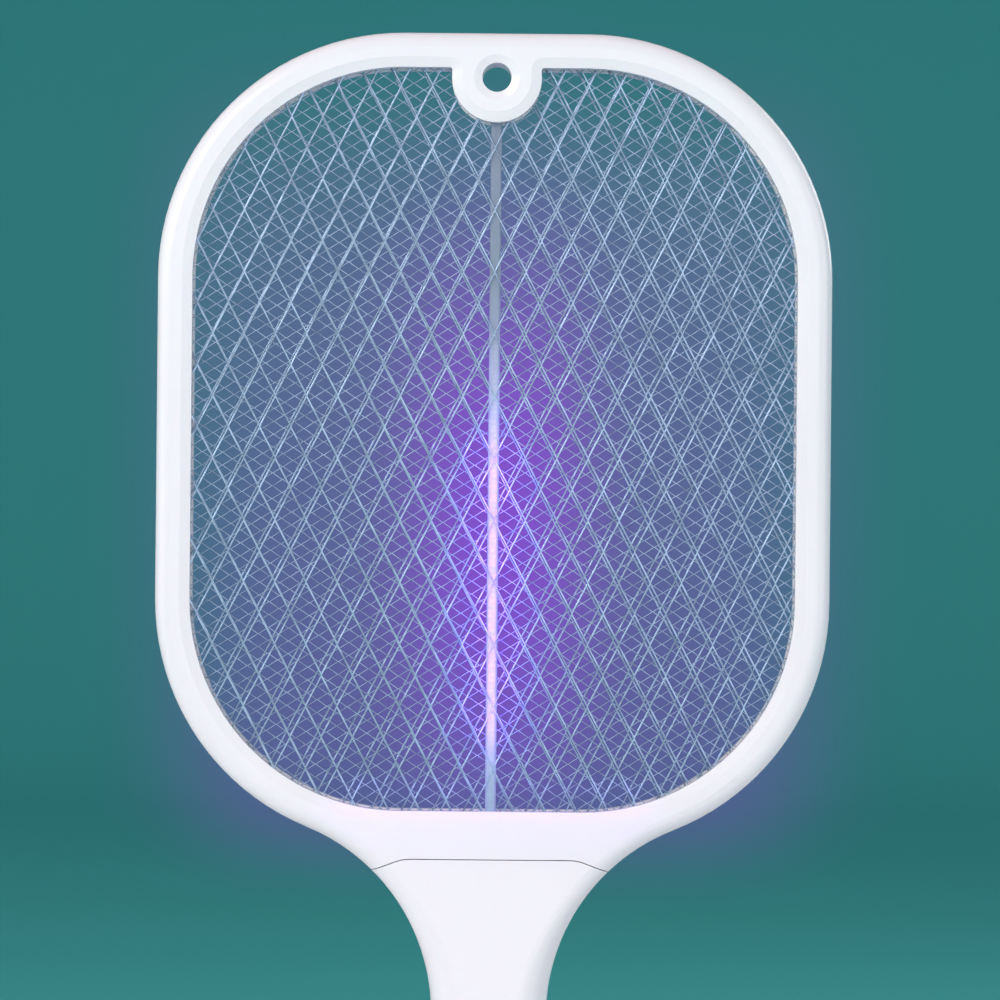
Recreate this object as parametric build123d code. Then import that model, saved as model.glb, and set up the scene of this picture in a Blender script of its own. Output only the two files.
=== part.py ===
from build123d import *
import math
import os

# Rechargeable electric fly swatter. Sizes are in millimetres.
# X runs across the head, Y from the front to the back, Z up the long axis.
# The origin is the centre of the hanging hole, halfway through the head.

# Head
HEAD_WIDTH = 216.6
HEAD_HEIGHT = 261.0
HEAD_DEPTH = 17.0
HEAD_CORNER_RADIUS = 78.8
HEAD_EDGE_RADIUS = 5.0
RAIL_WIDTH = 11.3
LIP_WIDTH = 3.3
LIP_DEPTH = 0.9
HOLE_BELOW_TOP = 14.4
HOLE_RADIUS = 4.7
HOLE_DISH_RADIUS = 7.3
HOLE_DISH_DEPTH = 0.8
EYELET_RADIUS = 14.4
EYELET_CORE_RADIUS = 10.5
EYELET_CORNER_RADIUS = 1.0
PARTING_GAP = 0.1

# Nets, front to back: guard, high voltage, guard
GUARD_RECESS = 4.6
NET_SHEET = 0.4
NET_MARGIN = 4.6
NET_RIM = 2.4
NET_SEAT_GAP = 0.3
GUARD_CELL_WIDTH = 10.0
GUARD_CELL_HEIGHT = 20.0
GUARD_STRAND = 0.6
REAR_GUARD_SHIFT = 1.1
FINE_CELL_WIDTH = 6.5
FINE_CELL_HEIGHT = 4.15
FINE_STRAND = 0.4
STRIP_END_GAP = 0.05
NET_TAB_WIDTH = 6.0
NET_TAB_LENGTH = 5.6
OUTER_TAB_X = 30.0
CENTRE_TAB_X = 20.0
SPACER_SETBACK = 0.6

# Lamp
GUIDE_WIDTH = 3.5
GUIDE_SIDE_GAP = 0.55
GUIDE_FIT = 0.2
GUIDE_TOP_OVERLAP = 2.0
GUIDE_BOTTOM_OVERLAP = 7.0
LAMP_BOARD_WIDTH = 11.0
LAMP_BOARD_DEPTH = 8.0
LAMP_BOARD_SHIFT = 1.0
LAMP_BOARD_SHEET = 1.0
LED_WIDTH = 3.5
LED_HEIGHT = 0.9

# Neck, its chamber and the tongue that the handle grips
NECK_RADIUS = 64.4
SEAM_BELOW_WINDOW = 15.2
SEAM_FLAT_WIDTH = 56.0
SEAM_SLOPE = 20.7
SEAM_BEND_RADIUS = 12.0
SEAM_GAP = 0.3
SEAM_OVERRUN = 1.5
CHAMBER_WIDTH = 76.0
CHAMBER_WALL = 2.0
CHAMBER_FLOOR = 1.6
CHAMBER_OVERLAP = 1.0
TONGUE_SIDE_GAP = 1.77
TONGUE_LENGTH = 27.0
TONGUE_FIT = 0.2
TONGUE_WALL = 1.8
TONGUE_CHEEK = 10.5

# Handle
GRIP_WIDTH = 36.9
GRIP_DEPTH = 28.0
GRIP_FLAT_WIDTH = 15.9
SWELL_LENGTH = 54.0
GRIP_LEAD_IN = 3.0
NECK_SECTIONS = 9
HANDLE_LENGTH = 211.5
END_RADIUS = 6.0
HANDLE_WALL = 2.0

# Screws
SCREW_FIT = 0.05
HEAD_SCREW_RADIUS = 1.0
HEAD_SCREW_HEAD_RADIUS = 1.9
HEAD_SCREW_INSET = 3.4
TOP_SCREW_TURN = 60
NECK_SCREW_TURN = -42
SIDE_SCREW_OFFSET = 6.0
CHAMBER_SCREW_GAP = 6.6
CHAMBER_SCREW_DROP = 3.6
SCREW_TIP_GAP = 0.5
HEAD_SCREW_SEAT = 4.5
HEAD_SCREW_LENGTH = 9.5
HANDLE_SCREW_RADIUS = 1.3
HANDLE_SCREW_HEAD_RADIUS = 2.4
HANDLE_SCREW_SEAT = 5.5
HANDLE_SCREW_LENGTH = 11.0
HANDLE_SCREW_TIP_GAP = 0.3
SCREW_HEAD_HEIGHT = 1.4
COUNTERBORE_GAP = 0.3
POST_RADIUS = 3.0
POST_FIT = 0.2
TONGUE_SCREW_INSET = 5.0
TONGUE_SCREW_DROP = 17.5
GRIP_SCREW_X = 12.9
BOARD_SCREW_RADIUS = 0.9
BOARD_SCREW_HEAD_RADIUS = 1.7
BOARD_SCREW_HEAD_HEIGHT = 1.0
BOARD_SCREW_LENGTH = 5.0
BOARD_SCREW_TIP_GAP = 0.4
BOARD_POST_RADIUS = 2.3

# Main circuit board, its controls and its parts
BOARD_SIDE_GAP = 2.95
BOARD_LENGTH = 64.0
BOARD_SHEET = 1.6
BOARD_FRONT_Y = -4.6
BOARD_BELOW_SEAM = 51.5
BOARD_SCREW_INSET = 3.6
BOARD_CORNER_RADIUS = 1.5
CONTROL_FIT = 0.3
BUTTON_WIDTH = 12.6
BUTTON_LENGTH = 18.6
BUTTON_RISE = 1.6
BUTTON_EDGE_RADIUS = 0.9
BUTTON_FLANGE = 1.4
BUTTON_FLANGE_SHEET = 1.2
BUTTON_DROP = 22.0
BUTTON_STEM_RADIUS = 2.2
BUTTON_TRAVEL = 1.0
SWITCH_SIZE = 6.2
SWITCH_HEIGHT = 3.4
SWITCH_CORNER_RADIUS = 0.6
PLUNGER_RADIUS = 1.7
PLUNGER_RISE = 1.3
PLUNGER_DEPTH = 0.9
PLUNGER_FIT = 0.15
SLIDER_WIDTH = 9.6
SLIDER_LENGTH = 9.0
SLIDER_CORNER_RADIUS = 1.4
SLIDER_RISE = 1.2
SLIDER_STEM = 4.0
SLIDER_SKIRT = 0.9
SLIDER_SKIRT_LENGTH = 13.4
SLIDER_TRAVEL = 2.0
SLIDER_TRACK_DEPTH = 1.0
SLIDER_RIDGES = 5
SLIDER_RIDGE_PITCH = 1.5
SLIDER_RIDGE_DEPTH = 0.5
SLIDER_DROP = 48.0
SLIDE_SWITCH_WIDTH = 6.0
SLIDE_SWITCH_LENGTH = 12.0
SLIDE_SWITCH_HEIGHT = 4.2
LEVER_SIZE = 2.0
LEVER_RISE = 2.2
LEVER_DEPTH = 1.2
INDICATOR_DROP = 36.2
INDICATOR_RADIUS = 1.5
INDICATOR_LENS_LENGTH = 3.0
LENS_RISE = 0.3
LENS_EDGE_RADIUS = 0.25
INDICATOR_LED_HEIGHT = 5.8
TRANSFORMER_DROP = 21.0
CORE_WIDTH = 17.0
CORE_LENGTH = 14.0
CORE_DEPTH = 5.0
CORE_LEG = 2.6
CORE_CENTRE_LEG = 4.2
WINDING_WIDTH = 10.6
WINDING_LENGTH = 8.4
WINDING_DEPTH = 11.6
WINDING_CORNER_RADIUS = 2.0
WINDING_FIT = 0.1
CAPACITOR_DROP = 39.0
CAPACITOR_WIDTH = 18.0
CAPACITOR_LENGTH = 7.5
CAPACITOR_DEPTH = 12.0
CAPACITOR_CORNER_RADIUS = 2.4
DIODE_DROP = 52.0
DIODE_RADIUS = 1.35
DIODE_LENGTH = 5.2
DIODE_COUNT = 4
DIODE_PITCH = 5.8
TRANSISTOR_WIDTH = 4.6
TRANSISTOR_DEPTH = 3.6
TRANSISTOR_DROP = 10.0
TRANSISTOR_X = 5.0
RESISTOR_RADIUS = 1.1
RESISTOR_LENGTH = 6.0
RESISTOR_COUNT = 3
RESISTOR_PITCH = 3.4
SOLDER_GAP = 0.05

# Battery and charging
CELL_RADIUS = 9.15
CELL_LENGTH = 65.0
CELL_Y = 0.9
CELL_BUTTON_RADIUS = 3.0
CELL_BUTTON_HEIGHT = 0.9
CELL_EDGE_RADIUS = 0.8
CELL_FIT = 0.2
CELL_BELOW_BOARD = 11.0
CRADLE_WALL = 1.5
CRADLE_RISE = 3.0
CRADLE_CORNER_RADIUS = 5.0
CONTACT_SHEET = 0.4
CONTACT_WIDTH = 10.0
CONTACT_DIMPLE = 0.6
DIMPLE_RADIUS = 2.0
DIMPLE_TIP_RADIUS = 1.2
CONTACT_GAP = 0.1
CONTACT_EAR = 2.0
SOCKET_WIDTH = 8.9
SOCKET_DEPTH = 3.2
SOCKET_LENGTH = 7.3
SOCKET_WALL = 0.3
SOCKET_BACK_WALL = 1.5
SOCKET_TONGUE_SETBACK = 0.8
SOCKET_RECESS = 0.4
SOCKET_FIT = 0.3
SOCKET_TONGUE_WIDTH = 6.7
SOCKET_TONGUE_SHEET = 0.7
CHARGE_BOARD_WIDTH = 16.0
CHARGE_BOARD_LENGTH = 12.0
CHARGE_BOARD_SHEET = 1.2
CHARGE_SCREW_X = 5.6
CHARGE_SCREW_INSET = 2.6

# Terminals and leads
TERMINAL_HALF_DEPTH = 0.9
TERMINAL_HALF_HEIGHT = 1.6
TERMINAL_SLIT = 0.5
TERMINAL_SEAT = 1.4
BARREL_RADIUS = 1.3
BARREL_LENGTH = 3.0
LEAD_RADIUS = 0.75
LEAD_BEND = 3.0
LEAD_START_GAP = 0.4
LEAD_RUN_OUT = 4.5
LEAD_DROP = 2.6
LEAD_WALL_GAP = 1.15
LEAD_SIDE_GAP = 0.55
LAMP_LEAD_X = -3.8
LAMP_LEAD_Y = 1.0
REAR_LEAD_X = 3.8
LEAD_BELOW_TONGUE = 2.0
LEAD_ABOVE_BOARD = 8.0
LEAD_LAP = 3.0
LEAD_FRONT_LAP = 4.0
LEAD_BELOW_BOARD = 2.5
CELL_LEAD_X = 8.5
CELL_LEAD_Y = -6.5
CELL_LEAD_END_X = 3.0
CHARGE_LEAD_END_X = 5.6
CHARGE_LEAD_STEP = 2.1
CHARGE_LEAD_INSET = 4.0
CHARGE_LEAD_SPREAD = 1.5

# Levels and places that follow from the sizes above
HEAD_TOP = HOLE_BELOW_TOP
HEAD_CENTRE_Z = HEAD_TOP - HEAD_HEIGHT / 2
WINDOW_BOTTOM = HEAD_TOP - HEAD_HEIGHT + RAIL_WIDTH
HALF_DEPTH = HEAD_DEPTH / 2
NET_PITCH = HALF_DEPTH - GUARD_RECESS
GUIDE_DEPTH = NET_PITCH - 2 * GUIDE_SIDE_GAP
LED_DEPTH = GUIDE_DEPTH
SEAM_Z = WINDOW_BOTTOM - SEAM_BELOW_WINDOW
HANDLE_END = SEAM_Z - HANDLE_LENGTH
NET_BOTTOM = WINDOW_BOTTOM - NET_MARGIN
POCKET_BOTTOM = NET_BOTTOM - NET_SEAT_GAP
POCKET_DEPTH = NET_PITCH + NET_SHEET / 2
CHAMBER_BOTTOM = SEAM_Z + CHAMBER_FLOOR
TONGUE_DEPTH = HALF_DEPTH - HANDLE_WALL - TONGUE_FIT
TONGUE_END = SEAM_Z - TONGUE_LENGTH
NECK_CENTRE_X = GRIP_WIDTH / 2 + NECK_RADIUS
NECK_CORNER_X = HEAD_WIDTH / 2 - HEAD_CORNER_RADIUS
NECK_CORNER_Z = HEAD_TOP - HEAD_HEIGHT + HEAD_CORNER_RADIUS
NECK_REACH = HEAD_CORNER_RADIUS + NECK_RADIUS
NECK_CENTRE_Z = NECK_CORNER_Z - math.sqrt(NECK_REACH**2 - (NECK_CENTRE_X - NECK_CORNER_X) ** 2)
NECK_SHARE = HEAD_CORNER_RADIUS / NECK_REACH
NECK_START_X = NECK_CORNER_X + (NECK_CENTRE_X - NECK_CORNER_X) * NECK_SHARE
NECK_START_Z = NECK_CORNER_Z + (NECK_CENTRE_Z - NECK_CORNER_Z) * NECK_SHARE
TONGUE_RISE = max(TONGUE_END - NECK_CENTRE_Z, 0.0)
TONGUE_SPACE = NECK_CENTRE_X - math.sqrt(NECK_RADIUS**2 - TONGUE_RISE**2)
TONGUE_WIDTH = 2 * (TONGUE_SPACE - HANDLE_WALL - TONGUE_SIDE_GAP)
TONGUE_SCREW_X = TONGUE_WIDTH / 2 - TONGUE_SCREW_INSET
CHANNEL_WIDTH = TONGUE_WIDTH - 2 * TONGUE_CHEEK
GRIP_CORNER_RADIUS = (GRIP_WIDTH - GRIP_FLAT_WIDTH) / 2
GRIP_FACE = GRIP_DEPTH / 2
GRIP_INSIDE = GRIP_FACE - HANDLE_WALL
BOARD_WIDTH = GRIP_WIDTH - 2 * (HANDLE_WALL + BOARD_SIDE_GAP)
BOARD_TOP = SEAM_Z - BOARD_BELOW_SEAM
BOARD_BOTTOM = BOARD_TOP - BOARD_LENGTH
BOARD_BACK_Y = BOARD_FRONT_Y + BOARD_SHEET
BUTTON_Z = BOARD_TOP - BUTTON_DROP
SLIDER_Z = BOARD_TOP - SLIDER_DROP
INDICATOR_Z = BOARD_TOP - INDICATOR_DROP
SWITCH_TOP_Y = BOARD_FRONT_Y - SWITCH_HEIGHT
PLUNGER_TOP_Y = SWITCH_TOP_Y - PLUNGER_RISE
SLIDE_SWITCH_TOP_Y = BOARD_FRONT_Y - SLIDE_SWITCH_HEIGHT
LEVER_TOP_Y = SLIDE_SWITCH_TOP_Y - LEVER_RISE
CELL_TOP = BOARD_BOTTOM - CELL_BELOW_BOARD
CELL_BOTTOM = CELL_TOP - CELL_LENGTH
CONTACT_TOP = CELL_TOP + CELL_BUTTON_HEIGHT + CONTACT_DIMPLE + CONTACT_GAP
CONTACT_BOTTOM = CELL_BOTTOM - CONTACT_DIMPLE - CONTACT_GAP
CRADLE_TOP = CONTACT_TOP + CONTACT_SHEET + CRADLE_WALL
CRADLE_BOTTOM = CONTACT_BOTTOM - CONTACT_SHEET - CRADLE_WALL
CRADLE_HALF_WIDTH = CELL_RADIUS + CELL_FIT + CRADLE_WALL
CRADLE_BACK_Y = GRIP_INSIDE - CELL_FIT
CRADLE_FRONT_Y = CELL_Y - CRADLE_RISE
SOCKET_BOTTOM = HANDLE_END + SOCKET_RECESS
SOCKET_TOP = SOCKET_BOTTOM + SOCKET_LENGTH
CHARGE_BOARD_Y = SOCKET_DEPTH / 2
CHARGE_BOARD_BOTTOM = SOCKET_BOTTOM + SOCKET_LENGTH / 2
CHARGE_BOARD_TOP = CHARGE_BOARD_BOTTOM + CHARGE_BOARD_LENGTH
CHARGE_SCREW_Z = CHARGE_BOARD_TOP - CHARGE_SCREW_INSET
UPPER_GRIP_SCREW_Z = BOARD_BOTTOM - POST_RADIUS - 1.0
LOWER_GRIP_SCREW_Z = CRADLE_BOTTOM - POST_RADIUS - 0.6
GUIDE_TOP = -EYELET_RADIUS + GUIDE_TOP_OVERLAP
GUIDE_BOTTOM = WINDOW_BOTTOM - GUIDE_BOTTOM_OVERLAP
GUIDE_Y = -NET_PITCH / 2
LED_TOP = GUIDE_BOTTOM - GUIDE_FIT
LAMP_BOARD_TOP = LED_TOP - LED_HEIGHT
TERMINAL_Z = NET_BOTTOM - NET_TAB_LENGTH + TERMINAL_SEAT
CHANNEL_LEAD_X = CHANNEL_WIDTH / 2 - LEAD_RADIUS - LEAD_SIDE_GAP
CHANNEL_LEAD_Y = TONGUE_DEPTH - TONGUE_WALL - LEAD_RADIUS - LEAD_WALL_GAP
LEAD_END_Z = BOARD_TOP - LEAD_LAP
LEAD_END_Y = BOARD_BACK_Y + LEAD_RADIUS + SOLDER_GAP
FRONT_LEAD_Y = BOARD_FRONT_Y - LEAD_RADIUS - SOLDER_GAP
FAR = 400.0


# ---------------------------------------------------------------- drawing helpers


def slab(profile, low, high):
    """A profile drawn in X and Z, solid from Y = low to Y = high."""
    return Plane.XZ * Pos(0, 0, -high) * extrude(profile, high - low, dir=(0, 0, 1))


def block(x_span, y_span, z_span):
    """A box from three (low, high) spans."""
    sizes = [high - low for low, high in (x_span, y_span, z_span)]
    middle = [(high + low) / 2 for low, high in (x_span, y_span, z_span)]
    return Pos(*middle) * Box(*sizes)


def pin(x, z, radius, low, high):
    """A cylinder along Y."""
    return slab(Pos(x, z) * Circle(radius), low, high)


def group(solids):
    """Separate solids that share one node."""
    return Compound(children=list(solids))


def head_outline(inset):
    """The head's outline without its neck, moved inwards."""
    width = HEAD_WIDTH - 2 * inset
    height = HEAD_HEIGHT - 2 * inset
    return Pos(0, HEAD_CENTRE_Z) * RectangleRounded(width, height, HEAD_CORNER_RADIUS - inset)


def window(grow):
    """The open window with the eyelet standing into it, moved outwards."""
    return head_outline(RAIL_WIDTH - grow) - Circle(EYELET_RADIUS - grow)


def net_outline(inset):
    """The edge of a net, clear of the eyelet's core."""
    core = Circle(EYELET_CORE_RADIUS + NET_SEAT_GAP + inset)
    return head_outline(RAIL_WIDTH - NET_MARGIN + inset) - core


def net_tab(x):
    """The ear at a net's bottom edge that takes its terminal."""
    height = NET_TAB_LENGTH + NET_RIM / 2
    return Pos(x, NET_BOTTOM - NET_TAB_LENGTH + height / 2) * Rectangle(NET_TAB_WIDTH, height)


# ---------------------------------------------------------------- outer shape of neck and handle


def neck_web():
    """The flared neck in X and Z, from inside the bottom rail down past the tongue."""
    bottom = NECK_CENTRE_Z - GRIP_LEAD_IN
    top = Line((-NECK_START_X, NECK_START_Z), (NECK_START_X, NECK_START_Z))
    middle = math.radians(45)
    bend_x = NECK_CENTRE_X - NECK_RADIUS * math.cos(middle)
    bend_z = NECK_CENTRE_Z + NECK_RADIUS * math.sin(middle)
    grip_x = GRIP_WIDTH / 2
    right = ThreePointArc((NECK_START_X, NECK_START_Z), (bend_x, bend_z), (grip_x, NECK_CENTRE_Z))
    left = ThreePointArc((-NECK_START_X, NECK_START_Z), (-bend_x, bend_z), (-grip_x, NECK_CENTRE_Z))
    base = Polyline((grip_x, NECK_CENTRE_Z), (grip_x, bottom), (-grip_x, bottom), (-grip_x, NECK_CENTRE_Z))
    return make_face([top, right, base, left])


def below_seam(gap):
    """Everything under the seam between head and handle: flat in the middle, sloping at the sides."""
    level = SEAM_Z - gap
    flat = SEAM_FLAT_WIDTH / 2
    drop = math.tan(math.radians(SEAM_SLOPE)) * (FAR - flat)
    corners = [(-FAR, level - drop), (-flat, level), (flat, level), (FAR, level - drop)]
    region = make_face(Polyline(*corners, (FAR, -2 * FAR), (-FAR, -2 * FAR), close=True))
    bends = [v for v in region.vertices() if abs(abs(v.X) - flat) < PARTING_GAP]
    return fillet(bends, SEAM_BEND_RADIUS)


def swell(z):
    """How far the handle has swollen from the head's depth, 0, to the grip's, 1."""
    share = min(max((SEAM_Z - z) / SWELL_LENGTH, 0.0), 1.0)
    return share * share * (3 - 2 * share)


def handle_section(z, inset):
    """One level section of the neck and handle, moved inwards."""
    rise = max(z - NECK_CENTRE_Z, 0.0)
    lean = math.sqrt(NECK_RADIUS**2 - rise**2) / NECK_RADIUS
    half_width = NECK_CENTRE_X - NECK_RADIUS * lean - inset / lean
    half_depth = HALF_DEPTH + (GRIP_FACE - HALF_DEPTH) * swell(z) - inset
    corner = HEAD_EDGE_RADIUS + (GRIP_CORNER_RADIUS - HEAD_EDGE_RADIUS) * swell(z) - inset
    across = corner / lean
    flat_x = half_width - across
    flat_y = half_depth - corner
    arcs = []
    for quarter, (x_sign, y_sign) in enumerate([(1, 1), (-1, 1), (-1, -1), (1, -1)]):
        centre = (x_sign * flat_x, y_sign * flat_y)
        arcs.append(EllipticalCenterArc(centre, across, corner, 90 * quarter, arc_size=90))
    sides = [Line(arcs[i] @ 1, arcs[(i + 1) % 4] @ 0) for i in range(4)]
    return Pos(0, 0, z) * make_face([edge for pair in zip(arcs, sides) for edge in pair])


def handle_form(inset, top, bottom):
    """The solid shape of neck and handle between two levels, with a rounded lower end."""
    grip_top = min(SEAM_Z - SWELL_LENGTH, NECK_CENTRE_Z) - GRIP_LEAD_IN
    levels = [top + (grip_top - top) * i / NECK_SECTIONS for i in range(NECK_SECTIONS + 1)]
    neck = loft([handle_section(z, inset) for z in levels])
    grip = extrude(handle_section(grip_top, inset), grip_top - bottom, dir=(0, 0, -1))
    end_edges = grip.faces().sort_by(Axis.Z)[0].edges()
    return neck + fillet(end_edges, END_RADIUS - inset)


# ---------------------------------------------------------------- head


def head_screw_places():
    """Screw centres round the rail: on the corner arcs, on the sides and beside the chamber."""
    reach = HEAD_CORNER_RADIUS - HEAD_SCREW_INSET
    top_corner_z = HEAD_TOP - HEAD_CORNER_RADIUS
    side_x = HEAD_WIDTH / 2 - HEAD_SCREW_INSET
    arc_places = [(top_corner_z, TOP_SCREW_TURN), (NECK_CORNER_Z, NECK_SCREW_TURN)]
    right = []
    for corner_z, turn in arc_places:
        angle = math.radians(turn)
        right.append((NECK_CORNER_X + reach * math.cos(angle), corner_z + reach * math.sin(angle)))
    right += [(side_x, top_corner_z - SIDE_SCREW_OFFSET), (side_x, NECK_CORNER_Z + SIDE_SCREW_OFFSET)]
    right.append((CHAMBER_WIDTH / 2 + CHAMBER_SCREW_GAP, POCKET_BOTTOM - CHAMBER_SCREW_DROP))
    return [(side * x, z) for x, z in right for side in (1, -1)]


def tongue_screw_places():
    """The two places where handle posts pass through the tongue."""
    return [(side * TONGUE_SCREW_X, SEAM_Z - TONGUE_SCREW_DROP) for side in (1, -1)]


def chamber():
    """The hollow in the bottom rail, with the channel that leads down through the tongue."""
    room_height = POCKET_BOTTOM + CHAMBER_OVERLAP - CHAMBER_BOTTOM
    room = Pos(0, CHAMBER_BOTTOM + room_height / 2) * Rectangle(CHAMBER_WIDTH, room_height)
    channel_height = POCKET_BOTTOM - TONGUE_END
    return room, Pos(0, TONGUE_END + channel_height / 2) * Rectangle(CHANNEL_WIDTH, channel_height)


def head_half(front):
    """One ring shell of the head, drawn as the front one and turned for the rear."""
    low = -HALF_DEPTH
    high = -PARTING_GAP / 2
    shell = slab(head_outline(0) + neck_web(), low, high)
    face_edges = shell.faces().sort_by(Axis.Y)[0].edges()
    neck_floor = face_edges.sort_by(Axis.Z)[0]
    shell = fillet([edge for edge in face_edges if edge != neck_floor], HEAD_EDGE_RADIUS)
    shell -= slab(below_seam(0), low, high)
    tongue_height = TONGUE_LENGTH + CHAMBER_FLOOR
    tongue = Pos(0, TONGUE_END + tongue_height / 2) * Rectangle(TONGUE_WIDTH, tongue_height)
    shell += slab(tongue, -TONGUE_DEPTH, high)
    opening = window(0)
    corners = [v for v in opening.vertices() if abs(math.hypot(v.X, v.Y) - EYELET_RADIUS) < PARTING_GAP]
    opening = fillet(corners, EYELET_CORNER_RADIUS)
    shell -= slab(opening, low, high)
    face = shell.faces().filter_by(Axis.Y).sort_by(Axis.Y)[0]
    rim = face.inner_wires()[0].edges()
    shell = chamfer(rim, LIP_WIDTH, LIP_DEPTH, reference=face)
    shell -= slab(net_outline(-NET_SEAT_GAP), -POCKET_DEPTH, high)
    room, channel = chamber()
    shell -= slab(room, -HALF_DEPTH + CHAMBER_WALL, high)
    shell -= slab(channel, -TONGUE_DEPTH + TONGUE_WALL, high)
    shell -= pin(0, 0, HOLE_RADIUS, low, high)
    dish = Cone(HOLE_DISH_RADIUS, HOLE_RADIUS, HOLE_DISH_DEPTH, align=(Align.CENTER, Align.CENTER, Align.MIN))
    shell -= Plane((0, low, 0), z_dir=(0, 1, 0)) * dish
    for x, z in tongue_screw_places():
        shell -= pin(x, z, POST_RADIUS + POST_FIT, low, high)
    for x, z in head_screw_places():
        if front:
            depth = HEAD_SCREW_LENGTH - HEAD_SCREW_SEAT + SCREW_TIP_GAP
            shell -= pin(x, z, HEAD_SCREW_RADIUS + SCREW_FIT, -depth, high)
        else:
            shell -= pin(x, z, HEAD_SCREW_RADIUS + SCREW_FIT, low, high)
            bore = HEAD_SCREW_HEAD_RADIUS + COUNTERBORE_GAP
            shell -= pin(x, z, bore, low, -HEAD_SCREW_SEAT)
    return shell if front else mirror(shell, Plane.XZ)


def head_front_frame():
    """The front ring shell, with blind holes for the screws."""
    return head_half(front=True)


def head_rear_frame():
    """The rear ring shell, with counterbores for the screws' heads."""
    return head_half(front=False)


def screw(x, z, seat, length, radius, head_radius, head_height):
    """A pan-head screw driven from the back towards the front, its head on Y = seat."""
    shank = pin(x, z, radius, seat - length, seat)
    head = pin(x, z, head_radius, seat, seat + head_height)
    head = fillet(head.faces().sort_by(Axis.Y)[-1].edges(), head_height / 2)
    cross = pin(x, z, radius / 2, seat + head_height / 3, seat + head_height)
    return shank + head - cross


def head_screws():
    """The screws that hold the two ring shells together."""
    sizes = (HEAD_SCREW_LENGTH, HEAD_SCREW_RADIUS, HEAD_SCREW_HEAD_RADIUS, SCREW_HEAD_HEIGHT)
    return group(screw(x, z, HEAD_SCREW_SEAT, *sizes) for x, z in head_screw_places())


# ---------------------------------------------------------------- nets and lamp


def diamond(x, z, cell_width, cell_height, strand):
    """The hole between four strands."""
    slope = math.atan2(cell_height, cell_width)
    half_x = (cell_width - strand / math.sin(slope)) / 2
    half_z = (cell_height - strand / math.cos(slope)) / 2
    points = [(x + half_x, z), (x, z + half_z), (x - half_x, z), (x, z - half_z)]
    return Face(Wire.make_polygon([(px, pz, 0) for px, pz in points]))


def guard_net_sheet(tab_x, shift):
    """A guard net drawn flat: its outline with every diamond cut out of it."""
    sheet = net_outline(0) + net_tab(tab_x)
    field = net_outline(NET_RIM).face()
    rows = int(HEAD_HEIGHT / GUARD_CELL_HEIGHT) + 2
    columns = int(HEAD_WIDTH / GUARD_CELL_WIDTH) + 2
    holes = []
    for row in range(-2 * rows, 2 * rows + 1):
        for column in range(-columns, columns + 1):
            if (row + column) % 2:
                continue
            x = column * GUARD_CELL_WIDTH / 2 + shift
            z = HEAD_CENTRE_Z + row * GUARD_CELL_HEIGHT / 2
            hole = diamond(x, z, GUARD_CELL_WIDTH, GUARD_CELL_HEIGHT, GUARD_STRAND)
            inside = [field.is_inside(corner.center()) for corner in hole.vertices()]
            if all(inside):
                holes.append(hole)
            elif any(inside):
                holes += [cut for cut in (hole & field).faces() if cut.area > GUARD_STRAND]
    return Face(sheet.face().outer_wire(), [hole.outer_wire() for hole in holes])


def guard_net(tab_x, shift, y):
    """A guard net of one sheet's thickness, its middle on Y = y."""
    return slab(guard_net_sheet(tab_x, shift), y - NET_SHEET / 2, y + NET_SHEET / 2)


def front_guard_net():
    """The coarse net that keeps fingers off the live one from the front."""
    return guard_net(-OUTER_TAB_X, 0.0, -NET_PITCH)


def rear_guard_net():
    """The coarse net at the back, its diamonds shifted against the front one's."""
    return guard_net(OUTER_TAB_X, REAR_GUARD_SHIFT, NET_PITCH)


def high_voltage_net():
    """The fine net: two layers of crossed flat strips inside a rim."""
    rim = slab(net_outline(0) - net_outline(NET_RIM) + net_tab(CENTRE_TAB_X), -NET_SHEET / 2, NET_SHEET / 2)
    field = net_outline(NET_RIM + STRIP_END_GAP)
    slope = math.degrees(math.atan2(FINE_CELL_HEIGHT, FINE_CELL_WIDTH))
    pitch = FINE_CELL_WIDTH * math.sin(math.radians(slope))
    half_count = int(HEAD_HEIGHT / 2 / pitch)
    strips = []
    for tilt, low, high in [(slope, -NET_SHEET / 2, 0.0), (-slope, 0.0, NET_SHEET / 2)]:
        for number in range(-half_count, half_count + 1):
            strip = Rot(0, 0, tilt) * Pos(0, (number + 0.5) * pitch) * Rectangle(FAR, FINE_STRAND)
            cut = (Pos(0, HEAD_CENTRE_Z) * strip) & field
            pieces = [face for face in cut.faces() if face.area > FINE_STRAND * FINE_CELL_WIDTH / 2]
            strips += [slab(face, low, high) for face in pieces]
    return group([rim, *strips])


def spacer_profile():
    """The ring that a spacer fills: from the nets' edge to just short of the window."""
    return net_outline(0) - window(SPACER_SETBACK)


def front_net_spacer():
    """The insulating ring in front of the high voltage net, notched for the light guide."""
    ring = slab(spacer_profile(), -NET_PITCH + NET_SHEET / 2, -NET_SHEET / 2)
    half = GUIDE_WIDTH / 2 + GUIDE_FIT
    y_span = (-NET_PITCH, -NET_SHEET / 2)
    ring -= block((-half, half), y_span, (GUIDE_BOTTOM - 1, WINDOW_BOTTOM + 1))
    return ring - block((-half, half), y_span, (-EYELET_RADIUS - 1, GUIDE_TOP + GUIDE_FIT))


def rear_net_spacer():
    """The insulating ring behind the high voltage net."""
    return slab(spacer_profile(), NET_SHEET / 2, NET_PITCH - NET_SHEET / 2)


def light_guide():
    """The clear bar on the centre line between the front guard and the high voltage net."""
    half_x = GUIDE_WIDTH / 2
    y_span = (GUIDE_Y - GUIDE_DEPTH / 2, GUIDE_Y + GUIDE_DEPTH / 2)
    bar = block((-half_x, half_x), y_span, (GUIDE_BOTTOM, GUIDE_TOP))
    return fillet(bar.edges().filter_by(Axis.Z), GUIDE_DEPTH / 4)


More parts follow.
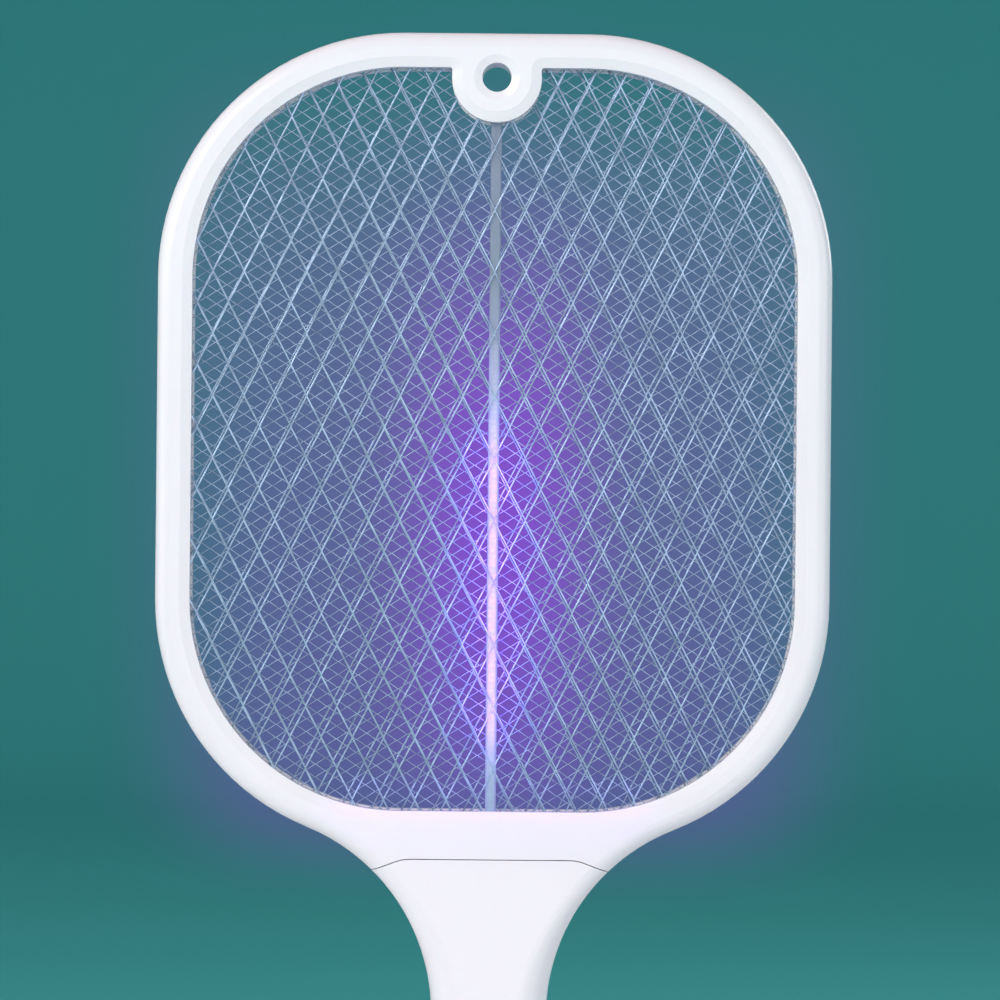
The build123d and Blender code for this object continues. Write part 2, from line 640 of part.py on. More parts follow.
def lamp_board():
    """The small board under the light guide, set back to clear the front shell."""
    half = LAMP_BOARD_WIDTH / 2
    middle_y = GUIDE_Y + LAMP_BOARD_SHIFT
    y_span = (middle_y - LAMP_BOARD_DEPTH / 2, middle_y + LAMP_BOARD_DEPTH / 2)
    return block((-half, half), y_span, (LAMP_BOARD_TOP - LAMP_BOARD_SHEET, LAMP_BOARD_TOP))


def violet_led():
    """The violet lamp that shines up into the light guide."""
    half_x = LED_WIDTH / 2
    y_span = (GUIDE_Y - LED_DEPTH / 2, GUIDE_Y + LED_DEPTH / 2)
    return block((-half_x, half_x), y_span, (LAMP_BOARD_TOP, LED_TOP))


# ---------------------------------------------------------------- terminals and leads


def terminal(x, y, towards):
    """A brass clip on a net's ear, with a crimp barrel that points along X."""
    half = NET_TAB_WIDTH / 2
    x_span = (x - half, x + half)
    low, high = TERMINAL_Z - TERMINAL_HALF_HEIGHT, TERMINAL_Z + TERMINAL_HALF_HEIGHT
    clip = block(x_span, (y - TERMINAL_HALF_DEPTH, y + TERMINAL_HALF_DEPTH), (low, high))
    slit_span = (y - TERMINAL_SLIT / 2, y + TERMINAL_SLIT / 2)
    clip -= block(x_span, slit_span, (TERMINAL_Z - TERMINAL_SEAT, high))
    crimp = Plane((x + towards * half, y, TERMINAL_Z), z_dir=(towards, 0, 0))
    stand = (Align.CENTER, Align.CENTER, Align.MIN)
    barrel = crimp * Cylinder(BARREL_RADIUS, BARREL_LENGTH, align=stand)
    return clip + barrel - crimp * Cylinder(LEAD_RADIUS + SOLDER_GAP, BARREL_LENGTH, align=stand)


def front_net_terminal():
    """The clip on the front guard net's ear."""
    return terminal(-OUTER_TAB_X, -NET_PITCH, 1)


def high_voltage_terminal():
    """The clip on the live net's ear."""
    return terminal(CENTRE_TAB_X, 0.0, -1)


def rear_net_terminal():
    """The clip on the rear guard net's ear."""
    return terminal(OUTER_TAB_X, NET_PITCH, -1)


def lead(points):
    """A round insulated lead along straight runs joined by arcs."""
    path = FilletPolyline(*points, radius=LEAD_BEND)
    section = Plane(path @ 0, z_dir=path % 0) * Circle(LEAD_RADIUS)
    return sweep(section, path)


def way_to_board(x, y):
    """A lead's points from the end of the channel to the back of the circuit board."""
    return [
        (x, y, TONGUE_END - LEAD_BELOW_TONGUE),
        (x, LEAD_END_Y, BOARD_TOP + LEAD_ABOVE_BOARD),
        (x, LEAD_END_Y, LEAD_END_Z),
    ]


def net_lead(tab_x, y, channel_x, channel_y):
    """From a net's terminal across the chamber, down the channel and onto the circuit board."""
    towards = -math.copysign(1.0, tab_x)
    start_x = tab_x + towards * (NET_TAB_WIDTH / 2 + LEAD_START_GAP)
    points = [
        (start_x, y, TERMINAL_Z),
        (start_x + towards * LEAD_RUN_OUT, y, TERMINAL_Z),
        (channel_x, channel_y, TERMINAL_Z - LEAD_DROP),
    ]
    return lead(points + way_to_board(channel_x, channel_y))


def front_net_lead():
    """The front guard net's lead, down the left of the channel."""
    return net_lead(-OUTER_TAB_X, -NET_PITCH, -CHANNEL_LEAD_X, -CHANNEL_LEAD_Y)


def high_voltage_lead():
    """The live net's lead, down the right of the channel."""
    return net_lead(CENTRE_TAB_X, 0.0, CHANNEL_LEAD_X, 0.0)


def rear_net_lead():
    """The rear guard net's lead, down the back of the channel."""
    return net_lead(OUTER_TAB_X, NET_PITCH, REAR_LEAD_X, CHANNEL_LEAD_Y)


def lamp_leads():
    """Two leads from the lamp board down to the circuit board."""
    start_z = LAMP_BOARD_TOP - LAMP_BOARD_SHEET - SOLDER_GAP
    starts = [(x, LAMP_LEAD_Y, start_z) for x in (LAMP_LEAD_X, 0.0)]
    return group(lead([start, *way_to_board(start[0], LAMP_LEAD_Y)]) for start in starts)


# ---------------------------------------------------------------- handle shells


def grip_screw_places():
    """Screw posts beside the battery's two ends."""
    return [(side * GRIP_SCREW_X, z) for z in (UPPER_GRIP_SCREW_Z, LOWER_GRIP_SCREW_Z) for side in (1, -1)]


def board_screw_places():
    x = BOARD_WIDTH / 2 - BOARD_SCREW_INSET
    levels = (BOARD_TOP - BOARD_SCREW_INSET, BOARD_BOTTOM + BOARD_SCREW_INSET)
    return [(side * x, z) for z in levels for side in (1, -1)]


def charge_screw_places():
    return [(side * CHARGE_SCREW_X, CHARGE_SCREW_Z) for side in (1, -1)]


def handle_blank():
    """The hollow handle before it is parted, cut off along the seam."""
    top = SEAM_Z + SEAM_OVERRUN
    outside = handle_form(0.0, top, HANDLE_END) & slab(below_seam(SEAM_GAP), -FAR, FAR)
    inside = handle_form(HANDLE_WALL, top + SEAM_OVERRUN, HANDLE_END + HANDLE_WALL)
    return outside, outside - inside


def socket_opening():
    """The mouth of the charging socket, half in each shell."""
    fit = 2 * SOCKET_FIT
    mouth = SlotOverall(SOCKET_WIDTH + fit, SOCKET_DEPTH + fit)
    return Pos(0, 0, HANDLE_END - 1) * extrude(mouth, HANDLE_WALL + END_RADIUS)


def posts(places, radius, low, high, outside):
    """Round posts along Y, kept inside the handle's outer shape."""
    return [pin(x, z, radius, low, high) & outside for x, z in places]


def handle_front_shell():
    """The front half of the handle, with the openings and posts for the controls."""
    outside, blank = handle_blank()
    high = -PARTING_GAP / 2
    half_space = block((-FAR, FAR), (-FAR, high), (-2 * FAR, FAR))
    shell = blank & half_space
    screw_places = tongue_screw_places() + grip_screw_places()
    for post in posts(screw_places, POST_RADIUS, -GRIP_FACE, high, outside):
        shell += post
    for post in posts(board_screw_places(), BOARD_POST_RADIUS, -GRIP_FACE, BOARD_FRONT_Y, outside):
        shell += post
    for x, z in screw_places:
        depth = HANDLE_SCREW_LENGTH - HANDLE_SCREW_SEAT + HANDLE_SCREW_TIP_GAP
        shell -= pin(x, z, HANDLE_SCREW_RADIUS + SCREW_FIT, -depth, high)
    for x, z in board_screw_places():
        pilot = BOARD_FRONT_Y - BOARD_SCREW_LENGTH + BOARD_SHEET - BOARD_SCREW_TIP_GAP
        shell -= pin(x, z, BOARD_SCREW_RADIUS + SCREW_FIT, pilot, BOARD_FRONT_Y)
    button_hole = SlotOverall(BUTTON_LENGTH + 2 * CONTROL_FIT, BUTTON_WIDTH + 2 * CONTROL_FIT, rotation=90)
    shell -= slab(Pos(0, BUTTON_Z) * button_hole, -FAR, -GRIP_INSIDE + 1)
    shell -= pin(0, INDICATOR_Z, INDICATOR_RADIUS + SCREW_FIT, -FAR, -GRIP_INSIDE + 1)
    travel = 2 * (SLIDER_TRAVEL + CONTROL_FIT)
    track_radius = SLIDER_CORNER_RADIUS + CONTROL_FIT
    track = RectangleRounded(SLIDER_WIDTH + 2 * CONTROL_FIT, SLIDER_LENGTH + travel, track_radius)
    shell -= slab(Pos(0, SLIDER_Z) * track, -FAR, -GRIP_FACE + SLIDER_TRACK_DEPTH)
    slot = Rectangle(SLIDER_STEM + 2 * CONTROL_FIT, SLIDER_STEM + travel)
    shell -= slab(Pos(0, SLIDER_Z) * slot, -FAR, -GRIP_INSIDE + 1)
    return shell - socket_opening()


def handle_rear_shell():
    """The rear half of the handle, counterbored for its screws."""
    outside, blank = handle_blank()
    low = PARTING_GAP / 2
    half_space = block((-FAR, FAR), (low, FAR), (-2 * FAR, FAR))
    shell = blank & half_space
    screw_places = tongue_screw_places() + grip_screw_places()
    for post in posts(screw_places, POST_RADIUS, low, GRIP_FACE, outside):
        shell += post
    charge_back = CHARGE_BOARD_Y + CHARGE_BOARD_SHEET
    for post in posts(charge_screw_places(), BOARD_POST_RADIUS, charge_back, GRIP_FACE, outside):
        shell += post
    for x, z in screw_places:
        shell -= pin(x, z, HANDLE_SCREW_RADIUS + SCREW_FIT, low, FAR)
        bore = HANDLE_SCREW_HEAD_RADIUS + COUNTERBORE_GAP / 2
        shell -= pin(x, z, bore, HANDLE_SCREW_SEAT, FAR)
    for x, z in charge_screw_places():
        shell -= pin(x, z, BOARD_SCREW_RADIUS + SCREW_FIT, low, charge_back + BOARD_SCREW_LENGTH)
    return shell - socket_opening()


def handle_screws():
    """The screws through the tongue and beside the battery's ends."""
    sizes = (HANDLE_SCREW_LENGTH, HANDLE_SCREW_RADIUS, HANDLE_SCREW_HEAD_RADIUS, SCREW_HEAD_HEIGHT)
    places = tongue_screw_places() + grip_screw_places()
    return group(screw(x, z, HANDLE_SCREW_SEAT, *sizes) for x, z in places)


# ---------------------------------------------------------------- circuit board and its parts


def main_circuit_board():
    """The board that carries the controls at its front and the converter at its back."""
    half = BOARD_WIDTH / 2
    board = block((-half, half), (BOARD_FRONT_Y, BOARD_BACK_Y), (BOARD_BOTTOM, BOARD_TOP))
    board = fillet(board.edges().filter_by(Axis.Y), BOARD_CORNER_RADIUS)
    for x, z in board_screw_places():
        board -= pin(x, z, BOARD_SCREW_RADIUS + SCREW_FIT, BOARD_FRONT_Y, BOARD_BACK_Y)
    return board


def board_screws():
    """Four screws through the main board and two through the charging board."""
    sizes = (BOARD_SCREW_LENGTH, BOARD_SCREW_RADIUS, BOARD_SCREW_HEAD_RADIUS, BOARD_SCREW_HEAD_HEIGHT)
    main = [screw(x, z, BOARD_BACK_Y, *sizes) for x, z in board_screw_places()]
    charge = [mirror(screw(x, z, -CHARGE_BOARD_Y, *sizes), Plane.XZ) for x, z in charge_screw_places()]
    return group(main + charge)


def button_switch():
    """The tactile switch under the button, with a well for its plunger."""
    half = SWITCH_SIZE / 2
    well = PLUNGER_DEPTH + BUTTON_TRAVEL + CONTROL_FIT
    y_span = (SWITCH_TOP_Y, BOARD_FRONT_Y - SOLDER_GAP)
    body = block((-half, half), y_span, (BUTTON_Z - half, BUTTON_Z + half))
    body = fillet(body.edges().filter_by(Axis.Y), SWITCH_CORNER_RADIUS)
    return body - pin(0, BUTTON_Z, PLUNGER_RADIUS + PLUNGER_FIT, SWITCH_TOP_Y, SWITCH_TOP_Y + well)


def switch_plunger():
    """The switch's own stem, pushed by the button."""
    return pin(0, BUTTON_Z, PLUNGER_RADIUS, PLUNGER_TOP_Y, SWITCH_TOP_Y + PLUNGER_DEPTH)


def zap_button():
    """The long oval button: a crowned cap, a flange behind the shell and a stem to the switch."""
    flange_front = -GRIP_INSIDE + CONTROL_FIT
    flange_back = flange_front + BUTTON_FLANGE_SHEET
    cap = SlotOverall(BUTTON_LENGTH, BUTTON_WIDTH, rotation=90)
    button = slab(Pos(0, BUTTON_Z) * cap, -GRIP_FACE - BUTTON_RISE, flange_back)
    button = fillet(button.faces().sort_by(Axis.Y)[0].edges(), BUTTON_EDGE_RADIUS)
    rim = 2 * BUTTON_FLANGE
    flange = SlotOverall(BUTTON_LENGTH + rim, BUTTON_WIDTH + rim, rotation=90)
    button += slab(Pos(0, BUTTON_Z) * flange, flange_front, flange_back)
    return button + pin(0, BUTTON_Z, BUTTON_STEM_RADIUS, flange_back, PLUNGER_TOP_Y - SOLDER_GAP)


def slide_switch():
    """The metal-cased slide switch under the mode slider."""
    half_x = SLIDE_SWITCH_WIDTH / 2
    half_z = SLIDE_SWITCH_LENGTH / 2
    y_span = (SLIDE_SWITCH_TOP_Y, BOARD_FRONT_Y - SOLDER_GAP)
    body = block((-half_x, half_x), y_span, (SLIDER_Z - half_z, SLIDER_Z + half_z))
    slot_x = LEVER_SIZE / 2 + PLUNGER_FIT
    slot_z = LEVER_SIZE / 2 + SLIDER_TRAVEL + CONTROL_FIT
    floor = SLIDE_SWITCH_TOP_Y + LEVER_DEPTH + CONTROL_FIT
    z_span = (SLIDER_Z - slot_z, SLIDER_Z + slot_z)
    return body - block((-slot_x, slot_x), (SLIDE_SWITCH_TOP_Y, floor), z_span)


def switch_lever():
    """The slide switch's own lever, held in the slider's stem."""
    half = LEVER_SIZE / 2
    y_span = (LEVER_TOP_Y, SLIDE_SWITCH_TOP_Y + LEVER_DEPTH)
    return block((-half, half), y_span, (SLIDER_Z - half, SLIDER_Z + half))


def mode_slider():
    """The three-position knob: a ridged pad, a stem through the slot and a skirt behind it."""
    floor_y = -GRIP_FACE + SLIDER_TRACK_DEPTH
    pad_profile = RectangleRounded(SLIDER_WIDTH, SLIDER_LENGTH, SLIDER_CORNER_RADIUS)
    knob = slab(Pos(0, SLIDER_Z) * pad_profile, -GRIP_FACE - SLIDER_RISE, floor_y - CONTROL_FIT)
    ridge_reach = SLIDER_WIDTH / 2
    for number in range(SLIDER_RIDGES):
        groove_z = SLIDER_Z + (number - (SLIDER_RIDGES - 1) / 2) * SLIDER_RIDGE_PITCH
        groove = Plane((-ridge_reach, -GRIP_FACE - SLIDER_RISE, groove_z), z_dir=(1, 0, 0)) * Cylinder(
            SLIDER_RIDGE_DEPTH, SLIDER_WIDTH, align=(Align.CENTER, Align.CENTER, Align.MIN)
        )
        knob -= groove
    half = SLIDER_STEM / 2
    skirt_front = -GRIP_INSIDE + CONTROL_FIT
    skirt_back = skirt_front + SLIDER_SKIRT
    socket_floor = LEVER_TOP_Y - SOLDER_GAP
    stem_back = SLIDE_SWITCH_TOP_Y - CONTROL_FIT
    z_span = (SLIDER_Z - half, SLIDER_Z + half)
    knob += block((-half, half), (floor_y - CONTROL_FIT, stem_back), z_span)
    skirt_x = SLIDER_WIDTH / 2
    skirt_z = SLIDER_SKIRT_LENGTH / 2
    knob += block((-skirt_x, skirt_x), (skirt_front, skirt_back), (SLIDER_Z - skirt_z, SLIDER_Z + skirt_z))
    grip = LEVER_SIZE / 2 + SOLDER_GAP
    return knob - block((-grip, grip), (socket_floor, stem_back), (SLIDER_Z - grip, SLIDER_Z + grip))


def indicator_led():
    """The round red lamp under the clear stud."""
    front = BOARD_FRONT_Y - INDICATOR_LED_HEIGHT
    dome = pin(0, INDICATOR_Z, INDICATOR_RADIUS, front, BOARD_FRONT_Y - SOLDER_GAP)
    return fillet(dome.faces().sort_by(Axis.Y)[0].edges(), INDICATOR_RADIUS * 0.8)


def indicator_lens():
    """The clear stud pressed into the front shell over the indicator."""
    front = -GRIP_FACE - LENS_RISE
    lens = pin(0, INDICATOR_Z, INDICATOR_RADIUS, front, front + INDICATOR_LENS_LENGTH)
    return fillet(lens.faces().sort_by(Axis.Y)[0].edges(), LENS_EDGE_RADIUS)


def transformer_core():
    """A ferrite core with two windows and a middle leg, standing off the back of the board."""
    z = BOARD_TOP - TRANSFORMER_DROP
    middle_y = BOARD_BACK_Y + SOLDER_GAP + WINDING_DEPTH / 2
    profile = Rectangle(CORE_WIDTH, CORE_LENGTH)
    gap_width = (CORE_WIDTH - 2 * CORE_LEG - CORE_CENTRE_LEG) / 2
    for side in (1, -1):
        gap_x = side * (CORE_CENTRE_LEG + gap_width) / 2
        profile -= Pos(gap_x, 0) * Rectangle(gap_width, CORE_LENGTH - 2 * CORE_LEG)
    return slab(Pos(0, z) * profile, middle_y - CORE_DEPTH / 2, middle_y + CORE_DEPTH / 2)


def transformer_winding():
    """The taped winding round the core's middle leg."""
    z = BOARD_TOP - TRANSFORMER_DROP
    low = BOARD_BACK_Y + SOLDER_GAP
    half_x = WINDING_WIDTH / 2
    half_z = WINDING_LENGTH / 2
    winding = block((-half_x, half_x), (low, low + WINDING_DEPTH), (z - half_z, z + half_z))
    winding = fillet(winding.edges().filter_by(Axis.Z), WINDING_CORNER_RADIUS)
    leg_x = CORE_CENTRE_LEG / 2 + WINDING_FIT
    leg_y = CORE_DEPTH / 2 + WINDING_FIT
    middle_y = low + WINDING_DEPTH / 2
    return winding - block((-leg_x, leg_x), (middle_y - leg_y, middle_y + leg_y), (z - half_z, z + half_z))


def high_voltage_capacitor():
    """The film capacitor that charges the live net."""
    z = BOARD_TOP - CAPACITOR_DROP
    half_x = CAPACITOR_WIDTH / 2
    half_z = CAPACITOR_LENGTH / 2
    low = BOARD_BACK_Y + SOLDER_GAP
    body = block((-half_x, half_x), (low, low + CAPACITOR_DEPTH), (z - half_z, z + half_z))
    return fillet(body.edges().filter_by(Axis.Y), CAPACITOR_CORNER_RADIUS)


def axial_part(x, z, radius, length):
    """A small cylinder lying along Z on the back of the board, its ends rounded."""
    middle_y = BOARD_BACK_Y + SOLDER_GAP + radius
    body = Pos(x, middle_y, z) * Cylinder(radius, length)
    return fillet(body.edges().filter_by(GeomType.CIRCLE), radius / 4)


def rectifier_diodes():
    """A row of diodes across the board."""
    z = BOARD_TOP - DIODE_DROP
    offsets = [(i - (DIODE_COUNT - 1) / 2) * DIODE_PITCH for i in range(DIODE_COUNT)]
    return group(axial_part(x, z, DIODE_RADIUS, DIODE_LENGTH) for x in offsets)


def resistors():
    """A row of resistors beside the transistor."""
    z = BOARD_TOP - TRANSISTOR_DROP
    offsets = [-(i + 1) * RESISTOR_PITCH for i in range(RESISTOR_COUNT)]
    return group(axial_part(x, z, RESISTOR_RADIUS, RESISTOR_LENGTH) for x in offsets)


def switching_transistor():
    """A small round-backed transistor case on the back of the board."""
    z = BOARD_TOP - TRANSISTOR_DROP
    case = Circle(TRANSISTOR_WIDTH / 2) & Pos(0, TRANSISTOR_DEPTH / 2 - TRANSISTOR_WIDTH / 2) * Rectangle(
        TRANSISTOR_WIDTH, TRANSISTOR_DEPTH
    )
    low = BOARD_BACK_Y + SOLDER_GAP
    return slab(Pos(TRANSISTOR_X, z) * case, low, low + TRANSISTOR_WIDTH)


# ---------------------------------------------------------------- battery and charging


def battery_cell():
    """The sleeved rechargeable cell with its raised positive end."""
    body = Pos(0, CELL_Y, (CELL_TOP + CELL_BOTTOM) / 2) * Cylinder(CELL_RADIUS, CELL_LENGTH)
    body = fillet(body.edges().filter_by(GeomType.CIRCLE), CELL_EDGE_RADIUS)
    button_z = CELL_TOP + CELL_BUTTON_HEIGHT / 2
    return body + Pos(0, CELL_Y, button_z) * Cylinder(CELL_BUTTON_RADIUS, CELL_BUTTON_HEIGHT)


def battery_cradle():
    """The open trough that holds the cell against the rear shell."""
    half = CRADLE_HALF_WIDTH
    trough = block((-half, half), (CRADLE_FRONT_Y, CRADLE_BACK_Y), (CRADLE_BOTTOM, CRADLE_TOP))
    trough = fillet(trough.edges().filter_by(Axis.Z).sort_by(Axis.Y)[-2:], CRADLE_CORNER_RADIUS)
    bed = Pos(0, CELL_Y, (CONTACT_TOP + CONTACT_BOTTOM) / 2) * Cylinder(
        CELL_RADIUS + CELL_FIT, CONTACT_TOP - CONTACT_BOTTOM + 2 * CONTACT_SHEET
    )
    inner = CELL_RADIUS + CELL_FIT
    z_span = (CONTACT_BOTTOM - CONTACT_SHEET, CONTACT_TOP + CONTACT_SHEET)
    return trough - bed - block((-inner, inner), (CRADLE_FRONT_Y, CELL_Y), z_span)


def battery_contact(z, outwards, dimple_towards):
    """A sprung contact plate with a domed dimple and a solder ear."""
    half = CONTACT_WIDTH / 2
    z_span = (min(z, z + outwards * CONTACT_SHEET), max(z, z + outwards * CONTACT_SHEET))
    plate = block((-half, half), (CRADLE_FRONT_Y - CONTACT_EAR, CELL_Y + CELL_RADIUS / 2), z_span)
    middle = (0, CELL_Y, z)
    dimple = Plane(middle, z_dir=(0, 0, dimple_towards)) * Cone(
        DIMPLE_RADIUS, DIMPLE_TIP_RADIUS, CONTACT_DIMPLE, align=(Align.CENTER, Align.CENTER, Align.MIN)
    )
    return plate + dimple


def battery_contact_positive():
    """The contact on the cell's raised end."""
    return battery_contact(CONTACT_TOP, 1, -1)


def battery_contact_negative():
    """The contact on the cell's flat end."""
    return battery_contact(CONTACT_BOTTOM, -1, 1)


def front_lap(x):
    """A lead's last two points, where it lies against the lower front of the circuit board."""
    levels = (BOARD_BOTTOM - LEAD_BELOW_BOARD, BOARD_BOTTOM + LEAD_FRONT_LAP)
    return [(x, FRONT_LEAD_Y, z) for z in levels]


def battery_leads():
    """The short lead from the upper contact and the long one past the cell from the lower contact."""
    ear_y = CRADLE_FRONT_Y - CONTACT_EAR / 2
    ear_top = CONTACT_TOP + CONTACT_SHEET + SOLDER_GAP
    lower_z = CONTACT_BOTTOM - CONTACT_SHEET - LEAD_RADIUS - SOLDER_GAP
    short = [(0, ear_y, ear_top), (0, ear_y, ear_top + LEAD_LAP), *front_lap(0)]
    long = [(CELL_LEAD_END_X, ear_y, lower_z), (CELL_LEAD_X, CELL_LEAD_Y, lower_z)]
    long += [(CELL_LEAD_X, CELL_LEAD_Y, CRADLE_TOP), *front_lap(CELL_LEAD_END_X)]
    return group([lead(short), lead(long)])


def usb_socket():
    """The charging socket: a drawn metal mouth with its contact tongue."""
    shell = Pos(0, 0, SOCKET_BOTTOM) * extrude(SlotOverall(SOCKET_WIDTH, SOCKET_DEPTH), SOCKET_LENGTH)
    inner = 2 * SOCKET_WALL
    mouth = SlotOverall(SOCKET_WIDTH - inner, SOCKET_DEPTH - inner)
    shell -= Pos(0, 0, SOCKET_BOTTOM) * extrude(mouth, SOCKET_LENGTH - SOCKET_BACK_WALL)
    half_x = SOCKET_TONGUE_WIDTH / 2
    half_y = SOCKET_TONGUE_SHEET / 2
    z_span = (SOCKET_BOTTOM + SOCKET_TONGUE_SETBACK, SOCKET_TOP - SOCKET_BACK_WALL / 2)
    return shell + block((-half_x, half_x), (-half_y, half_y), z_span)


def charge_board():
    """The small board behind the charging socket."""
    half = CHARGE_BOARD_WIDTH / 2
    y_span = (CHARGE_BOARD_Y, CHARGE_BOARD_Y + CHARGE_BOARD_SHEET)
    board = block((-half, half), y_span, (CHARGE_BOARD_BOTTOM, CHARGE_BOARD_TOP))
    for x, z in charge_screw_places():
        board -= pin(x, z, BOARD_SCREW_RADIUS + SCREW_FIT, *y_span)
    return board


def charge_leads():
    """Two leads from the charging board, up in front of the cell to the main board."""
    board_y = CHARGE_BOARD_Y - SOLDER_GAP
    start_z = CHARGE_BOARD_TOP - CHARGE_LEAD_INSET
    step = CHARGE_LEAD_STEP
    pair = []
    for start_x, side_x, y, end_x in [
        (-CHARGE_LEAD_SPREAD, -CELL_LEAD_X, CELL_LEAD_Y, -CHARGE_LEAD_END_X),
        (CHARGE_LEAD_SPREAD, step - CELL_LEAD_X, CELL_LEAD_Y - step, -CELL_LEAD_END_X),
    ]:
        rise = [(start_x, board_y, start_z), (start_x, y, start_z)]
        run = [(side_x, y, CRADLE_BOTTOM + CHARGE_LEAD_INSET), (side_x, y, CRADLE_TOP)]
        pair.append(lead(rise + run + front_lap(end_x)))
    return group(pair)


PIECES = [
    head_front_frame,
    head_rear_frame,
    head_screws,
    front_guard_net,
    high_voltage_net,
    rear_guard_net,
    front_net_spacer,
    rear_net_spacer,
    light_guide,
    lamp_board,
    violet_led,
    front_net_terminal,
    high_voltage_terminal,
    rear_net_terminal,
    front_net_lead,
    high_voltage_lead,
    rear_net_lead,
    lamp_leads,
    handle_front_shell,
    handle_rear_shell,
    handle_screws,
    main_circuit_board,
    board_screws,
    button_switch,
    switch_plunger,
    zap_button,
    slide_switch,
    switch_lever,
    mode_slider,
    indicator_led,
    indicator_lens,
    transformer_core,
    transformer_winding,
    high_voltage_capacitor,
    rectifier_diodes,
    resistors,
    switching_transistor,
    battery_cell,
    battery_cradle,
    battery_contact_positive,
    battery_contact_negative,
    battery_leads,
    usb_socket,
    charge_board,
    charge_leads,
]

os.makedirs("parts", exist_ok=True)
for piece in PIECES:
    export_step(piece(), f"parts/{piece.__name__}.step")
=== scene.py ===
"""Looks of a rechargeable electric fly swatter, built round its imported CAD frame.

Everything is in metres and in the frame of the model: X across the head, Y from front to back,
Z up the long axis, and the origin at the centre of the hanging hole. Class fields that hold a
length of the swatter are in millimetres, as on a drawing, and MM turns them to metres.
"""

import logging
import math
from collections.abc import Iterator
from dataclasses import dataclass, field
from enum import Enum
from typing import Any

import bmesh
import bpy
from mathutils import Matrix, Vector


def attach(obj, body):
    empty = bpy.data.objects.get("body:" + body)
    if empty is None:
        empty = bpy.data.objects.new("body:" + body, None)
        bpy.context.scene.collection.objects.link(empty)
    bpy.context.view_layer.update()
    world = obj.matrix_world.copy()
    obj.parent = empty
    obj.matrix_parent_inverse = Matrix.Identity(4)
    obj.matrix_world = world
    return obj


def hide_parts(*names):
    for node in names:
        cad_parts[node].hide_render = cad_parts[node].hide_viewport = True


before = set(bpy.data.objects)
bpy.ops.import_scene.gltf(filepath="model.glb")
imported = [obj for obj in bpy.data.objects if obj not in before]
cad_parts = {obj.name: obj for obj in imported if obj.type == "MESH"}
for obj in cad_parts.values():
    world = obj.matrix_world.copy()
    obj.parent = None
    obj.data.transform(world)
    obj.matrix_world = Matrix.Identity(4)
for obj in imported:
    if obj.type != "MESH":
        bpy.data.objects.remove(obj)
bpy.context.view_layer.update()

MM = 0.001
LOG = logging.getLogger("fly_swatter")

Colour = tuple[float, float, float, float]
Point = tuple[float, float]
Position = tuple[float, float, float]
Step = tuple[int, int]
Socket = bpy.types.NodeSocket

# Lowest and highest value of a pattern: noise seldom leaves the first range.
NOISE_RANGE = (0.3, 0.7)
FULL_RANGE = (0.0, 1.0)


# ------------------------------------------------------------------ colour and nodes


def linear(code: str) -> Colour:
    """Turns an sRGB hex colour to linear light.

    Args:
        code: Six hex digits, with or without a leading hash.

    Returns:
        Red, green, blue and an alpha of one.
    """
    digits = code.lstrip("#")
    shares = [int(digits[i : i + 2], 16) / 255 for i in (0, 2, 4)]
    slope, knee, lift, power = 12.92, 0.04045, 0.055, 2.4
    parts = [s / slope if s <= knee else ((s + lift) / (1 + lift)) ** power for s in shares]
    return (parts[0], parts[1], parts[2], 1.0)


def add_node(
    tree: bpy.types.NodeTree,
    kind: str,
    settings: dict[str, Any] | None = None,
    inputs: dict[str | int, Any] | None = None,
    links: dict[str | int, Socket] | None = None,
) -> bpy.types.Node:
    """Adds one shader node with its settings and links.

    Args:
        tree: The node tree that gets the node.
        kind: The node's type, without its "ShaderNode" start.
        settings: The node's own attributes.
        inputs: Fixed values by input socket.
        links: Output sockets of other nodes by the input socket that takes them.

    Returns:
        The new node.
    """
    node = tree.nodes.new("ShaderNode" + kind)
    for key, value in (settings or {}).items():
        setattr(node, key, value)
    for key, value in (inputs or {}).items():
        node.inputs[key].default_value = value
    for key, source in (links or {}).items():
        tree.links.new(source, node.inputs[key])
    return node


def set_stops(ramp: bpy.types.Node, stops: list[tuple[float, Colour]], smooth: bool = False) -> None:
    """Gives a colour ramp its stops.

    Args:
        ramp: The ramp node.
        stops: Place and colour of each stop, in order.
        smooth: Whether the ramp eases between its stops.
    """
    ramp.color_ramp.interpolation = "EASE" if smooth else "LINEAR"
    elements = ramp.color_ramp.elements
    while len(elements) < len(stops):
        elements.new(1.0)
    for element, (place, colour) in zip(elements, stops):
        element.position = place
        element.color = colour


def per_size(millimetres: float) -> float:
    """The texture scale whose features are about that many millimetres across."""
    return 1.0 / (millimetres * MM)


# ------------------------------------------------------------------ finishes


